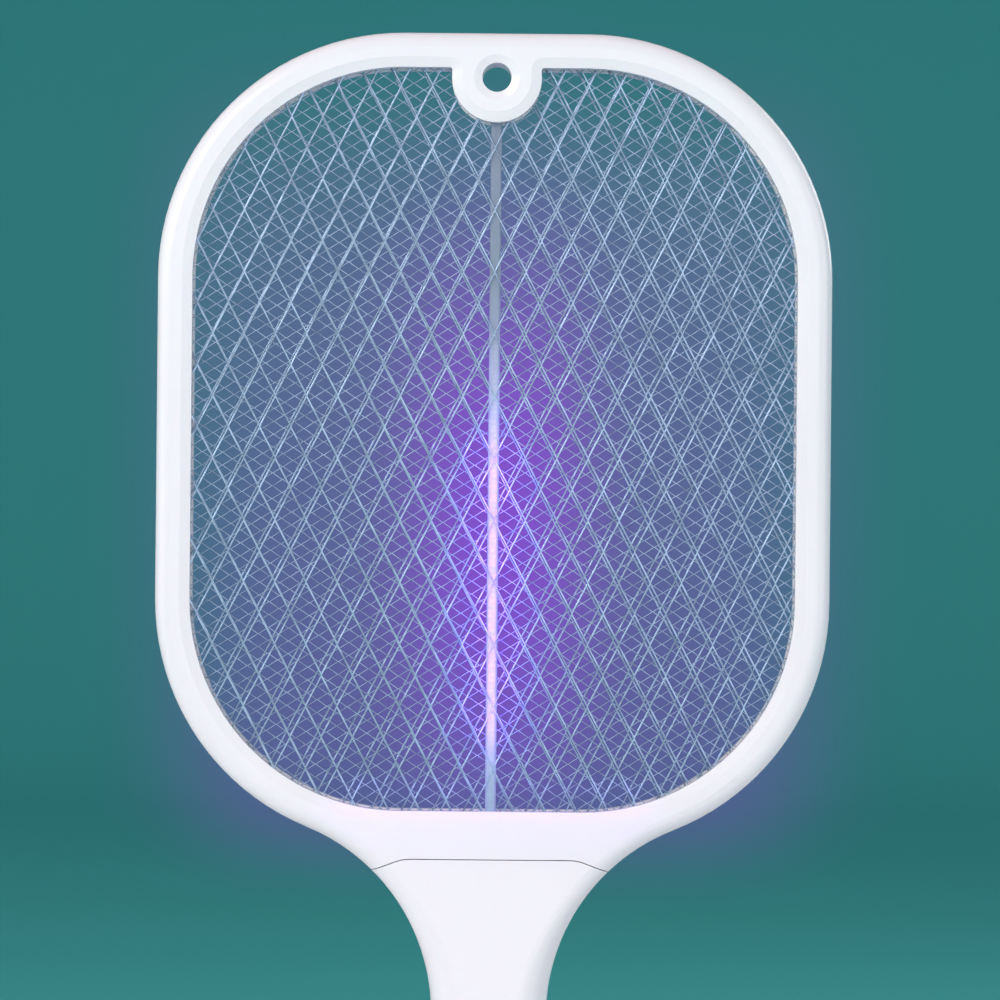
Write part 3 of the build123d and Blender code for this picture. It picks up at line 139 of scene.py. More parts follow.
@dataclass(frozen=True)
class Finish:
    """A finish: what a surface is made of and how it was made.

    Attributes:
        title: The material's name in the file.
    """

    title: str

    def start(self) -> tuple[bpy.types.Material, bpy.types.NodeTree, Socket]:
        """Makes the empty material.

        Returns:
            The material, its tree and the coordinates of the piece in metres.
        """
        material = bpy.data.materials.new(self.title)
        material.use_nodes = True
        tree = material.node_tree
        tree.nodes.clear()
        return material, tree, add_node(tree, "TexCoord").outputs["Object"]

    def close(
        self,
        tree: bpy.types.NodeTree,
        constants: dict[str, Any],
        links: dict[str, Socket],
        gloss: tuple[Socket, Point, Point],
        reliefs: tuple[tuple[Socket, float, float], ...] = (),
    ) -> None:
        """Adds the uneven gloss, the relief and the shader that the finish ends in.

        Args:
            tree: The material's nodes.
            constants: The shader's constants.
            links: What its colour and light take.
            gloss: A pattern, its lowest and highest value, and the roughness at each.
            reliefs: Pattern, strength and depth in mm of each relief, from the widest to the finest.
        """
        pattern, (least, most), (first, last) = gloss
        ranges = {"From Min": least, "From Max": most, "To Min": first, "To Max": last}
        spread = add_node(tree, "MapRange", inputs=ranges, links={"Value": pattern})
        links = {**links, "Roughness": spread.outputs["Result"]}
        for pattern, strength, depth in reliefs:
            under = {"Normal": links["Normal"]} if "Normal" in links else {}
            sizes = {"Strength": strength, "Distance": depth * MM}
            relief = add_node(tree, "Bump", inputs=sizes, links={"Height": pattern, **under})
            links["Normal"] = relief.outputs["Normal"]
        shader = add_node(tree, "BsdfPrincipled", inputs=constants, links=links)
        add_node(tree, "OutputMaterial", links={"Surface": shader.outputs["BSDF"]})

    def make(self) -> bpy.types.Material:
        """Builds the material's nodes."""
        raise NotImplementedError


@dataclass(frozen=True)
class MouldedFinish(Finish):
    """A moulded, dipped or extruded plastic.

    Attributes:
        shade: Colour where the plastic flowed last, as sRGB hex.
        tint: Its main colour.
        roughness: The middle of its roughness.
        roughness_spread: How far roughness swings to each side of the middle.
        ior: Index of refraction.
        coat: Weight of a clear gloss layer.
        coat_roughness: Roughness of that layer.
        flow_size: Size of the cloudy flow marks, in mm.
        skin_size: Size of the surface's fine texture, in mm.
        skin_depth: Depth of that texture, in mm.
        peel_size: Width of the slow waves that a mould's polish leaves, in mm.
        peel_depth: Height of those waves, in mm.
        glow_through: Share of light that scatters inside, for thin pale walls.
        scatter: How far that light goes inside, in mm.
    """

    shade: str
    tint: str
    roughness: float = 0.35
    roughness_spread: float = 0.05
    ior: float = 1.5
    coat: float = 0.0
    coat_roughness: float = 0.06
    flow_size: float = 40.0
    skin_size: float = 0.35
    skin_depth: float = 0.004
    peel_size: float = 6.0
    peel_depth: float = 0.004
    glow_through: float = 0.0
    scatter: float = 1.2

    def make(self) -> bpy.types.Material:
        """Builds cloudy colour, uneven gloss and two sizes of relief.

        Returns:
            The finished material.
        """
        material, tree, place = self.start()
        textures = {
            "flow": (self.flow_size, 3.0, 0.55),
            "handling": (self.flow_size / 3, 5.0, 0.7),
            "skin": (self.skin_size, 2.0, 0.5),
            "peel": (self.peel_size, 1.0, 0.5),
        }
        marks = {}
        for name, (size, detail, roughness) in textures.items():
            inputs = {"Scale": per_size(size), "Detail": detail, "Roughness": roughness}
            marks[name] = add_node(tree, "TexNoise", inputs=inputs, links={"Vector": place}).outputs["Fac"]
        colour = add_node(tree, "ValToRGB", links={"Fac": marks["flow"]})
        set_stops(colour, [(0.3, linear(self.shade)), (0.62, linear(self.tint))], smooth=True)
        constants = {
            "IOR": self.ior,
            "Coat Weight": self.coat,
            "Coat Roughness": self.coat_roughness,
            "Subsurface Weight": self.glow_through,
            "Subsurface Scale": self.scatter * MM,
        }
        gloss = (self.roughness - self.roughness_spread, self.roughness + self.roughness_spread)
        self.close(
            tree,
            constants,
            {"Base Color": colour.outputs["Color"]},
            (marks["handling"], NOISE_RANGE, gloss),
            ((marks["peel"], 1.0, self.peel_depth), (marks["skin"], 1.0, self.skin_depth)),
        )
        return material


@dataclass(frozen=True)
class PlatedFinish(Finish):
    """A bare or plated metal.

    Attributes:
        dull: Colour in its dull patches, as sRGB hex.
        bright: Colour where the plating is bright.
        smooth: Lowest roughness.
        worn: Highest roughness.
        grain_size: Length of the rolled or drawn grain, in mm.
        grain_depth: Depth of the grain, in mm.
        patch_size: Size of the dull and bright patches, in mm.
    """

    dull: str
    bright: str
    smooth: float
    worn: float
    grain_size: float
    grain_depth: float
    patch_size: float

    def make(self) -> bpy.types.Material:
        """Builds patchy colour and gloss with a fine drawn grain.

        Returns:
            The finished material.
        """
        material, tree, place = self.start()
        inputs = {"Scale": per_size(self.patch_size), "Detail": 4.0, "Roughness": 0.6}
        patches = add_node(tree, "TexNoise", inputs=inputs, links={"Vector": place}).outputs["Fac"]
        colour = add_node(tree, "ValToRGB", links={"Fac": patches})
        set_stops(colour, [(0.35, linear(self.dull)), (0.6, linear(self.bright))])
        inputs = {"Scale": per_size(self.grain_size), "Detail": 3.0}
        grain = add_node(tree, "TexNoise", inputs=inputs, links={"Vector": place}).outputs["Fac"]
        self.close(
            tree,
            {"Metallic": 1.0},
            {"Base Color": colour.outputs["Color"]},
            (patches, NOISE_RANGE, (self.worn, self.smooth)),
            ((grain, 1.0, self.grain_depth),),
        )
        return material


@dataclass(frozen=True)
class BoardFinish(Finish):
    """A glass-epoxy circuit board under solder mask.

    Attributes:
        mask: Colour of the mask over bare board, as sRGB hex.
        track: Colour of the mask over copper.
        track_pitch: Distance between copper tracks, in mm.
        track_share: Width of a track, as a share of the pitch.
        track_height: How far a track stands up, in mm.
        weave_size: Width of the glass cloth's threads, in mm.
    """

    mask: str = "#14532D"
    track: str = "#1F7A41"
    track_pitch: float = 2.54
    track_share: float = 0.12
    track_height: float = 0.03
    weave_size: float = 0.6

    def make(self) -> bpy.types.Material:
        """Builds copper tracks that stand up a little under the mask.

        Returns:
            The finished material.
        """
        material, tree, place = self.start()
        upright = {"Rotation": (math.radians(90), 0.0, 0.0)}
        turned = add_node(tree, "Mapping", inputs=upright, links={"Vector": place})
        tracks = add_node(
            tree,
            "TexBrick",
            settings={"offset": 0.5, "squash": 1.0},
            inputs={
                "Color1": linear(self.mask),
                "Color2": linear(self.mask),
                "Mortar": linear(self.track),
                "Scale": per_size(self.track_pitch),
                "Mortar Size": self.track_share,
                "Mortar Smooth": 0.2,
                "Brick Width": 3.0,
                "Row Height": 1.0,
            },
            links={"Vector": turned.outputs["Vector"]},
        ).outputs
        inputs = {"Scale": per_size(self.weave_size), "Detail": 2.0}
        weave = add_node(tree, "TexNoise", inputs=inputs, links={"Vector": place}).outputs["Fac"]
        self.close(
            tree,
            {"IOR": 1.55},
            {"Base Color": tracks["Color"]},
            (weave, FULL_RANGE, (0.22, 0.38)),
            ((tracks["Fac"], 1.0, self.track_height),),
        )
        return material


@dataclass(frozen=True)
class ClearFinish(Finish):
    """A clear moulded or cast plastic.

    Attributes:
        tint: Its colour, as sRGB hex.
        roughness: Middle roughness.
        ior: Index of refraction.
        unevenness: How far roughness swings, as a share of its middle.
        wave_size: Width of its moulding waves, in mm.
        wave_depth: Height of those waves, in mm.
    """

    tint: str
    roughness: float
    ior: float
    unevenness: float = 0.4
    wave_size: float = 1.5
    wave_depth: float = 0.02

    def make(self) -> bpy.types.Material:
        """Builds a clear body with faint moulding waves.

        Returns:
            The finished material.
        """
        material, tree, place = self.start()
        inputs = {"Scale": per_size(self.wave_size), "Detail": 2.0}
        waves = add_node(tree, "TexNoise", inputs=inputs, links={"Vector": place}).outputs["Fac"]
        constants = {"Base Color": linear(self.tint), "IOR": self.ior, "Transmission Weight": 1.0}
        gloss = (self.roughness * (1 - self.unevenness), self.roughness * (1 + self.unevenness))
        self.close(tree, constants, {}, (waves, FULL_RANGE, gloss), ((waves, 1.0, self.wave_depth),))
        return material


@dataclass(frozen=True)
class EdgeLitAcrylic(Finish):
    """Polished acrylic rod, lit from its lower end by a violet lamp.

    Attributes:
        body: Colour of the unlit rod, as sRGB hex.
        stops: Level in mm, strength of the light there and its colour, from the bottom up.
        peak: Strength that a share of one stands for.
        core_half: Half the width of the white-hot core, in mm.
        core_fade: Where the core starts and ends its fade to the sides, as shares of that half width.
        edge: Colour at the rod's sides.
        dot_pitch: Distance between the etched dots that let light out, in mm.
        dot_depth: Depth of the dots, in mm.
    """

    body: str
    stops: tuple[tuple[float, float, str], ...]
    peak: float
    core_half: float
    edge: str
    dot_pitch: float
    core_fade: Point = (0.4, 1.6)
    dot_depth: float = 0.02

    def make(self) -> bpy.types.Material:
        """Builds light that fades up the rod and towards its sides, broken by etched dots.

        Returns:
            The finished material.
        """
        material, tree, place = self.start()
        axes = add_node(tree, "SeparateXYZ", links={"Vector": place}).outputs
        bottom, top = self.stops[0][0], self.stops[-1][0]
        reach = {"From Min": bottom * MM, "From Max": top * MM}
        level = add_node(tree, "MapRange", inputs=reach, links={"Value": axes["Z"]}).outputs["Result"]
        strength = add_node(tree, "ValToRGB", links={"Fac": level})
        colour = add_node(tree, "ValToRGB", links={"Fac": level})
        span = top - bottom
        set_stops(strength, [((z - bottom) / span, (s, s, s, 1.0)) for z, s, _ in self.stops])
        set_stops(colour, [((z - bottom) / span, linear(code)) for z, _, code in self.stops])
        off_axis = add_node(tree, "Math", settings={"operation": "ABSOLUTE"}, links={0: axes["X"]})
        fade_start, fade_end = (share * self.core_half * MM for share in self.core_fade)
        side = add_node(
            tree,
            "MapRange",
            settings={"interpolation_type": "SMOOTHSTEP"},
            inputs={"From Min": fade_start, "From Max": fade_end},
            links={"Value": off_axis.outputs["Value"]},
        )
        glow = add_node(
            tree,
            "Mix",
            settings={"data_type": "RGBA"},
            inputs={7: linear(self.edge)},
            links={0: side.outputs["Result"], 6: colour.outputs["Color"]},
        )
        inputs = {"Scale": per_size(self.dot_pitch), "Randomness": 0.35}
        dots = add_node(tree, "TexVoronoi", inputs=inputs, links={"Vector": place}).outputs["Distance"]
        inputs = {"From Min": 0.1, "From Max": 0.6, "To Min": 1.25, "To Max": 0.7}
        etched = add_node(tree, "MapRange", inputs=inputs, links={"Value": dots}).outputs["Result"]
        times = {"operation": "MULTIPLY"}
        spotted = add_node(tree, "Math", settings=times, links={0: strength.outputs["Color"], 1: etched})
        power = add_node(
            tree, "Math", settings=times, inputs={1: self.peak}, links={0: spotted.outputs["Value"]}
        )
        self.close(
            tree,
            {"Base Color": linear(self.body), "IOR": 1.49, "Transmission Weight": 0.6},
            {"Emission Color": glow.outputs[2], "Emission Strength": power.outputs["Value"]},
            (dots, FULL_RANGE, (0.6, 0.35)),
            ((dots, 0.3, self.dot_depth),),
        )
        return material


@dataclass(frozen=True)
class LampFinish(Finish):
    """The lit face of a light-emitting diode.

    Attributes:
        body: Colour of its package, as sRGB hex.
        light: Colour of its light.
        strength: How strongly its brightest patches glow.
        dimmest: Glow of its dimmest patches, as a share of the brightest.
        patch_size: Size of the patches in its phosphor, in mm.
    """

    body: str
    light: str
    strength: float
    dimmest: float = 0.6
    patch_size: float = 0.8

    def make(self) -> bpy.types.Material:
        """Builds a patchy glow over the package.

        Returns:
            The finished material.
        """
        material, tree, place = self.start()
        inputs = {"Scale": per_size(self.patch_size), "Detail": 2.0}
        phosphor = add_node(tree, "TexNoise", inputs=inputs, links={"Vector": place}).outputs["Fac"]
        inputs = {"To Min": self.strength * self.dimmest, "To Max": self.strength}
        power = add_node(tree, "MapRange", inputs=inputs, links={"Value": phosphor}).outputs["Result"]
        constants = {"Base Color": linear(self.body), "Emission Color": linear(self.light)}
        self.close(tree, constants, {"Emission Strength": power}, (phosphor, FULL_RANGE, (0.2, 0.4)))
        return material


@dataclass(frozen=True)
class PaintedWallGlow:
    """Violet light of the lamp, painted as a glow on the paper behind the swatter.

    Its widths and heights are in metres for each metre behind the swatter.

    Attributes:
        level: Height of its middle, in metres.
        half_width: Half its width.
        half_height: Half its height.
        edge: How sharply it ends: 2 is a soft bell, more has a flatter middle.
        weight: Share of the paper's own tone that it covers in the middle.
        low: Colour at its lower end, as sRGB hex.
        high: Colour at its upper end.
        nearest: How far behind the swatter it starts, in metres.
    """

    level: float
    half_width: float
    half_height: float
    edge: float
    weight: float
    low: str
    high: str
    nearest: float = 0.5

    def lay(self, tree: bpy.types.NodeTree, place: Socket, under: Socket) -> Socket:
        """Lays the painted glow over the paper.

        Args:
            tree: The paper's nodes.
            place: Coordinates of the paper.
            under: The shader that the glow lies on.

        Returns:
            The shader of paper and glow together.
        """
        axes = add_node(tree, "SeparateXYZ", links={"Vector": place}).outputs
        sums = {axis: axes[axis] for axis in ("X", "Y", "Z")}
        steps: tuple[tuple[str, str, tuple[str | float, ...]], ...] = (
            ("behind", "MAXIMUM", ("Y", self.nearest)),
            ("sideways", "DIVIDE", ("X", "behind")),
            ("across", "DIVIDE", ("sideways", self.half_width)),
            ("height", "SUBTRACT", ("Z", self.level)),
            ("rise", "DIVIDE", ("height", "behind")),
            ("up", "DIVIDE", ("rise", self.half_height)),
            ("out_across", "ABSOLUTE", ("across",)),
            ("out_up", "ABSOLUTE", ("up",)),
            ("fade_across", "POWER", ("out_across", self.edge)),
            ("fade_up", "POWER", ("out_up", self.edge)),
            ("fade", "ADD", ("fade_across", "fade_up")),
            ("loss", "MULTIPLY", ("fade", -1.0)),
            ("bell", "EXPONENT", ("loss",)),
            ("cover", "MULTIPLY", ("bell", self.weight)),
            ("is_behind", "GREATER_THAN", ("Y", self.nearest)),
            ("share", "MULTIPLY", ("cover", "is_behind")),
        )
        for name, operation, terms in steps:
            node = add_node(
                tree,
                "Math",
                settings={"operation": operation},
                inputs={i: term for i, term in enumerate(terms) if isinstance(term, float)},
                links={i: sums[term] for i, term in enumerate(terms) if isinstance(term, str)},
            )
            sums[name] = node.outputs["Value"]
        ends = {"From Min": -self.half_height, "From Max": self.half_height}
        height = add_node(tree, "MapRange", inputs=ends, links={"Value": sums["rise"]})
        colour = add_node(tree, "ValToRGB", links={"Fac": height.outputs["Result"]})
        set_stops(colour, [(0.0, linear(self.low)), (1.0, linear(self.high))])
        # The lamp's violet light is painted on the paper here as emission.
        light = add_node(tree, "Emission", links={"Color": colour.outputs["Color"]}).outputs["Emission"]
        return add_node(tree, "MixShader", links={0: sums["share"], 1: under, 2: light}).outputs["Shader"]


@dataclass(frozen=True)
class PaperFinish(Finish):
    """Matt studio paper with the lamp's glow painted on it.

    Attributes:
        near: Colour round the swatter, as sRGB hex.
        far: Colour further out and up the wall.
        near_radius: Radius of the near colour, in metres; it has faded at twice that.
        glows: The lamp's haze and beam, painted on the paper as glow.
    """

    near: str
    far: str
    near_radius: float
    glows: tuple[PaintedWallGlow, ...]

    def make(self) -> bpy.types.Material:
        """Builds the paper's tone and lays the painted glows over it.

        Returns:
            The finished material.
        """
        material, tree, place = self.start()
        reach = add_node(tree, "VectorMath", settings={"operation": "LENGTH"}, links={0: place})
        ends = {"From Min": self.near_radius, "From Max": 2 * self.near_radius}
        outwards = add_node(tree, "MapRange", inputs=ends, links={"Value": reach.outputs["Value"]})
        tone = add_node(tree, "ValToRGB", links={"Fac": outwards.outputs["Result"]})
        set_stops(tone, [(0.0, linear(self.near)), (1.0, linear(self.far))], smooth=True)
        lit = add_node(tree, "BsdfDiffuse", links={"Color": tone.outputs["Color"]}).outputs["BSDF"]
        for glow in self.glows:
            lit = glow.lay(tree, place, lit)
        add_node(tree, "OutputMaterial", links={"Surface": lit})
        return material


# The finish of each material slot of the model, by the slot's name.
FINISHES: dict[str, Finish] = {
    # Gloss ABS out of a polished mould: milk white with a cool cast, a soft wide highlight and
    # slow waves in its reflections.
    "white_abs": MouldedFinish(
        "gloss_moulded_white_abs", shade="#F1EFF5", tint="#F4F2F8", roughness=0.3,
        roughness_spread=0.015, ior=1.5, coat=0.2, flow_size=90.0, skin_size=0.5, skin_depth=0.0008,
        peel_size=14.0, peel_depth=0.0025, glow_through=0.08,
    ),
    # Satin ABS for what the thumb rubs: greyer, and finely sparked so that it grips.
    "control_abs": MouldedFinish(
        "sparked_grey_abs", shade="#B9BBC6", tint="#C9CBD4", roughness=0.46, roughness_spread=0.07,
        ior=1.54, flow_size=12.0, skin_size=0.3, skin_depth=0.02,
    ),
    # Nickel-plated expanded steel: blue-silver strands that glint where the slitting twisted them.
    "guard_steel": PlatedFinish(
        "nickel_plated_expanded_steel", dull="#8A9CB2", bright="#A9BFD8", smooth=0.26, worn=0.44,
        grain_size=0.6, grain_depth=0.003, patch_size=7.0,
    ),
    # The same plating on a finer net, a shade greyer for its sheared edges.
    "fine_steel": PlatedFinish(
        "nickel_plated_fine_net", dull="#8190A6", bright="#9EB0C8", smooth=0.3, worn=0.46,
        grain_size=0.6, grain_depth=0.003, patch_size=5.0,
    ),
    # Natural polypropylene: waxy, and it lets some light through.
    "spacer_plastic": MouldedFinish(
        "moulded_natural_polypropylene", shade="#DFE0E6", tint="#ECECF0", roughness=0.42,
        glow_through=0.2,
    ),
    # Polished acrylic rod: white-hot over its lower two thirds and almost clear above.
    "guide_acrylic": EdgeLitAcrylic(
        "edge_lit_polished_acrylic",
        body="#B9C5D9",
        stops=(
            (-242.3, 0.55, "#A9F0DC"),
            (-232.0, 0.5, "#A4E9DE"),
            (-222.0, 0.75, "#D5F2F6"),
            (-205.0, 1.0, "#F1F6FF"),
            (-110.0, 1.0, "#F4F2FF"),
            (-94.0, 0.72, "#E3E0FF"),
            (-78.0, 0.3, "#C9CCEC"),
            (-62.0, 0.1, "#A9B6CC"),
            (-12.4, 0.05, "#A3B5BE"),
        ),
        peak=0.3,
        core_half=1.05,
        edge="#9A86FF",
        dot_pitch=1.6,
    ),
    # A violet lamp in its white package.
    "led_package": LampFinish("violet_lamp_package", body="#F4F1EA", light="#7A3CFF", strength=8.0),
    # Solder mask over copper: deep green, raised and paler along the tracks.
    "circuit_board": BoardFinish("green_solder_mask"),
    # Stamped brass: warm, with the drag lines of the press.
    "brass": PlatedFinish(
        "stamped_brass", dull="#B58E45", bright="#DDBB6F", smooth=0.22, worn=0.38, grain_size=0.35,
        grain_depth=0.012, patch_size=3.0,
    ),
    # Zinc-plated steel: cool and slightly cloudy.
    "plated_steel": PlatedFinish(
        "zinc_plated_steel", dull="#A9AEB4", bright="#D3D8DC", smooth=0.22, worn=0.4, grain_size=0.4,
        grain_depth=0.012, patch_size=2.5,
    ),
    # Extruded PVC insulation: even, with a soft sheen along the lead.
    "red_wire": MouldedFinish("extruded_red_pvc", shade="#A31621", tint="#C11F2B", roughness=0.38),
    "black_wire": MouldedFinish("extruded_black_pvc", shade="#15161A", tint="#202126", roughness=0.36),
    "white_wire": MouldedFinish("extruded_white_pvc", shade="#DADADD", tint="#EDEDEF", roughness=0.36),
    # Moulded black nylon: dry and faintly grainy.
    "switch_plastic": MouldedFinish("moulded_black_nylon", shade="#17181B", tint="#26272B", roughness=0.5),
    # Drawn and tinned steel: bright with long drag marks.
    "switch_metal": PlatedFinish(
        "drawn_tinned_steel", dull="#B4B8BC", bright="#DEE2E5", smooth=0.18, worn=0.34, grain_size=0.3,
        grain_depth=0.01, patch_size=2.0,
    ),
    # Cast red epoxy: clear, deep and glassy.
    "indicator_epoxy": ClearFinish("cast_red_epoxy", tint="#C8232C", roughness=0.1, ior=1.53),
    # Moulded clear polycarbonate, a little milky.
    "lens_clear": ClearFinish("moulded_clear_polycarbonate", tint="#F2F3F5", roughness=0.22, ior=1.58),
    # Sintered ferrite: charcoal, dull and pitted.
    "ferrite": MouldedFinish(
        "sintered_ferrite", shade="#25262A", tint="#35363B", roughness=0.62, skin_size=0.4,
        skin_depth=0.05,
    ),
    # Polyester tape wound over copper: amber and slick.
    "winding_tape": MouldedFinish(
        "wound_polyester_tape", shade="#B78A26", tint="#D9AD3F", roughness=0.24, coat=0.4,
    ),
    # Dipped epoxy: brown-red, thick and rounded like enamel.
    "capacitor_epoxy": MouldedFinish(
        "dipped_brown_epoxy", shade="#7C2E1D", tint="#93402A", roughness=0.26, coat=0.3,
    ),
    # Moulded epoxy of small parts: matt black.
    "diode_epoxy": MouldedFinish("moulded_black_epoxy", shade="#1B1B1E", tint="#29292D", roughness=0.45),
    # Baked resistor enamel: tan and a little chalky.
    "resistor_enamel": MouldedFinish("baked_tan_enamel", shade="#BFA075", tint="#D2B78C", roughness=0.4),
    # Shrink sleeve on the cell: taut and glossy.
    "cell_sleeve": MouldedFinish(
        "shrunk_blue_sleeve", shade="#1E4E8C", tint="#2A62A6", roughness=0.28, coat=0.3
    ),
    # Recycled ABS of inner parts: near black and unpolished.
    "cradle_abs": MouldedFinish("moulded_black_abs", shade="#2A2A2D", tint="#38383C", roughness=0.48),
}


PAPER = PaperFinish(
    "matt_studio_paper",
    near="#DDE5E6",
    far="#55BDBB",
    near_radius=0.7,
    # The lamp's violet haze and beam, painted on the paper as glow.
    glows=(
        PaintedWallGlow(-0.145, 0.1, 0.117, edge=6.0, weight=0.92, low="#6258A2", high="#586F90"),
        PaintedWallGlow(-0.155, 0.03, 0.078, edge=2.5, weight=1.0, low="#8250CE", high="#8254C6"),
    ),
)


class Wardrobe:
    """Makes each finish once and hands it out."""

    made: dict[str, bpy.types.Material] = {}

    @classmethod
    def finish(cls, slot: str) -> bpy.types.Material:
        """The finished material of a slot, made when first asked for."""
        if slot not in cls.made:
            cls.made[slot] = FINISHES[slot].make()
        return cls.made[slot]


# ------------------------------------------------------------------ meshes


def settle(piece: bpy.types.Object) -> None:
    """Turns a piece's modifiers into plain mesh.

    Args:
        piece: A mesh object with modifiers.
    """
    bpy.context.view_layer.update()
    seen = piece.evaluated_get(bpy.context.evaluated_depsgraph_get())
    finished = bpy.data.meshes.new_from_object(seen)
    piece.modifiers.clear()
    piece.data = finished


def mesh_piece(name: str, shape: bmesh.types.BMesh) -> bpy.types.Object:
    """Puts a finished bmesh into the scene as a piece.

    Args:
        name: The piece's name.
        shape: The mesh, which is freed.

    Returns:
        The new object.
    """
    data = bpy.data.meshes.new(name)
    shape.to_mesh(data)
    shape.free()
    piece = bpy.data.objects.new(name, data)
    bpy.context.scene.collection.objects.link(piece)
    return piece


@dataclass
class HeadShape:
    """The head's flat outlines, in mm, which the nets are cut to.

    Attributes:
        half_width: Half the head's width.
        top: Level of its top edge.
        bottom: Level of the bottom rail's outline.
        corner: Radius of its corners.
        rail: Width of the rail round the window; not used.
        eyelet_core: Radius of the core round the hanging hole, with its gap to the nets.
    """

    half_width: float = 108.3
    top: float = 14.4
    bottom: float = -246.6
    corner: float = 78.8
    rail: float = 11.3
    eyelet_core: float = 10.8

    @property
    def middle(self) -> float:
        """Level of the head's centre."""
        return (self.top + self.bottom) / 2

    def depth(self, x: float, z: float, inset: float) -> float:
        """How far a point lies inside the outline.

        Args:
            x: Across the head, in mm.
            z: Up the head, in mm.
            inset: How far the outline is moved inwards first.

        Returns:
            Millimetres inside it, less than zero outside it or in the eyelet's core.
        """
        corner = self.corner - inset
        reach_x = abs(x) - (self.half_width - self.corner)
        reach_z = abs(z - self.middle) - ((self.top - self.bottom) / 2 - self.corner)
        beyond = math.hypot(max(reach_x, 0.0), max(reach_z, 0.0)) + min(max(reach_x, reach_z), 0.0)
        return min(corner - beyond, math.hypot(x, z) - self.eyelet_core)

    def loop(self, inset: float, steps: int) -> list[Point]:
        """Points round the outline.

        Args:
            inset: How far the outline is moved inwards.
            steps: Points on each corner.

        Returns:
            The points, anticlockwise from the right side.
        """
        corner = self.corner - inset
        flat_x = self.half_width - self.corner
        flat_z = (self.top - self.bottom) / 2 - self.corner
        points = []
        for quarter, (side_x, side_z) in enumerate([(1, 1), (-1, 1), (-1, -1), (1, -1)]):
            for step in range(steps + 1):
                turn = math.radians(90 * (quarter + step / steps))
                x = side_x * flat_x + corner * math.cos(turn)
                points.append((x, self.middle + side_z * flat_z + corner * math.sin(turn)))
        return points


class LongWay(Enum):
    """Which way the long diagonal of a net's diamonds runs."""

    UP = "up"
    ACROSS = "across"


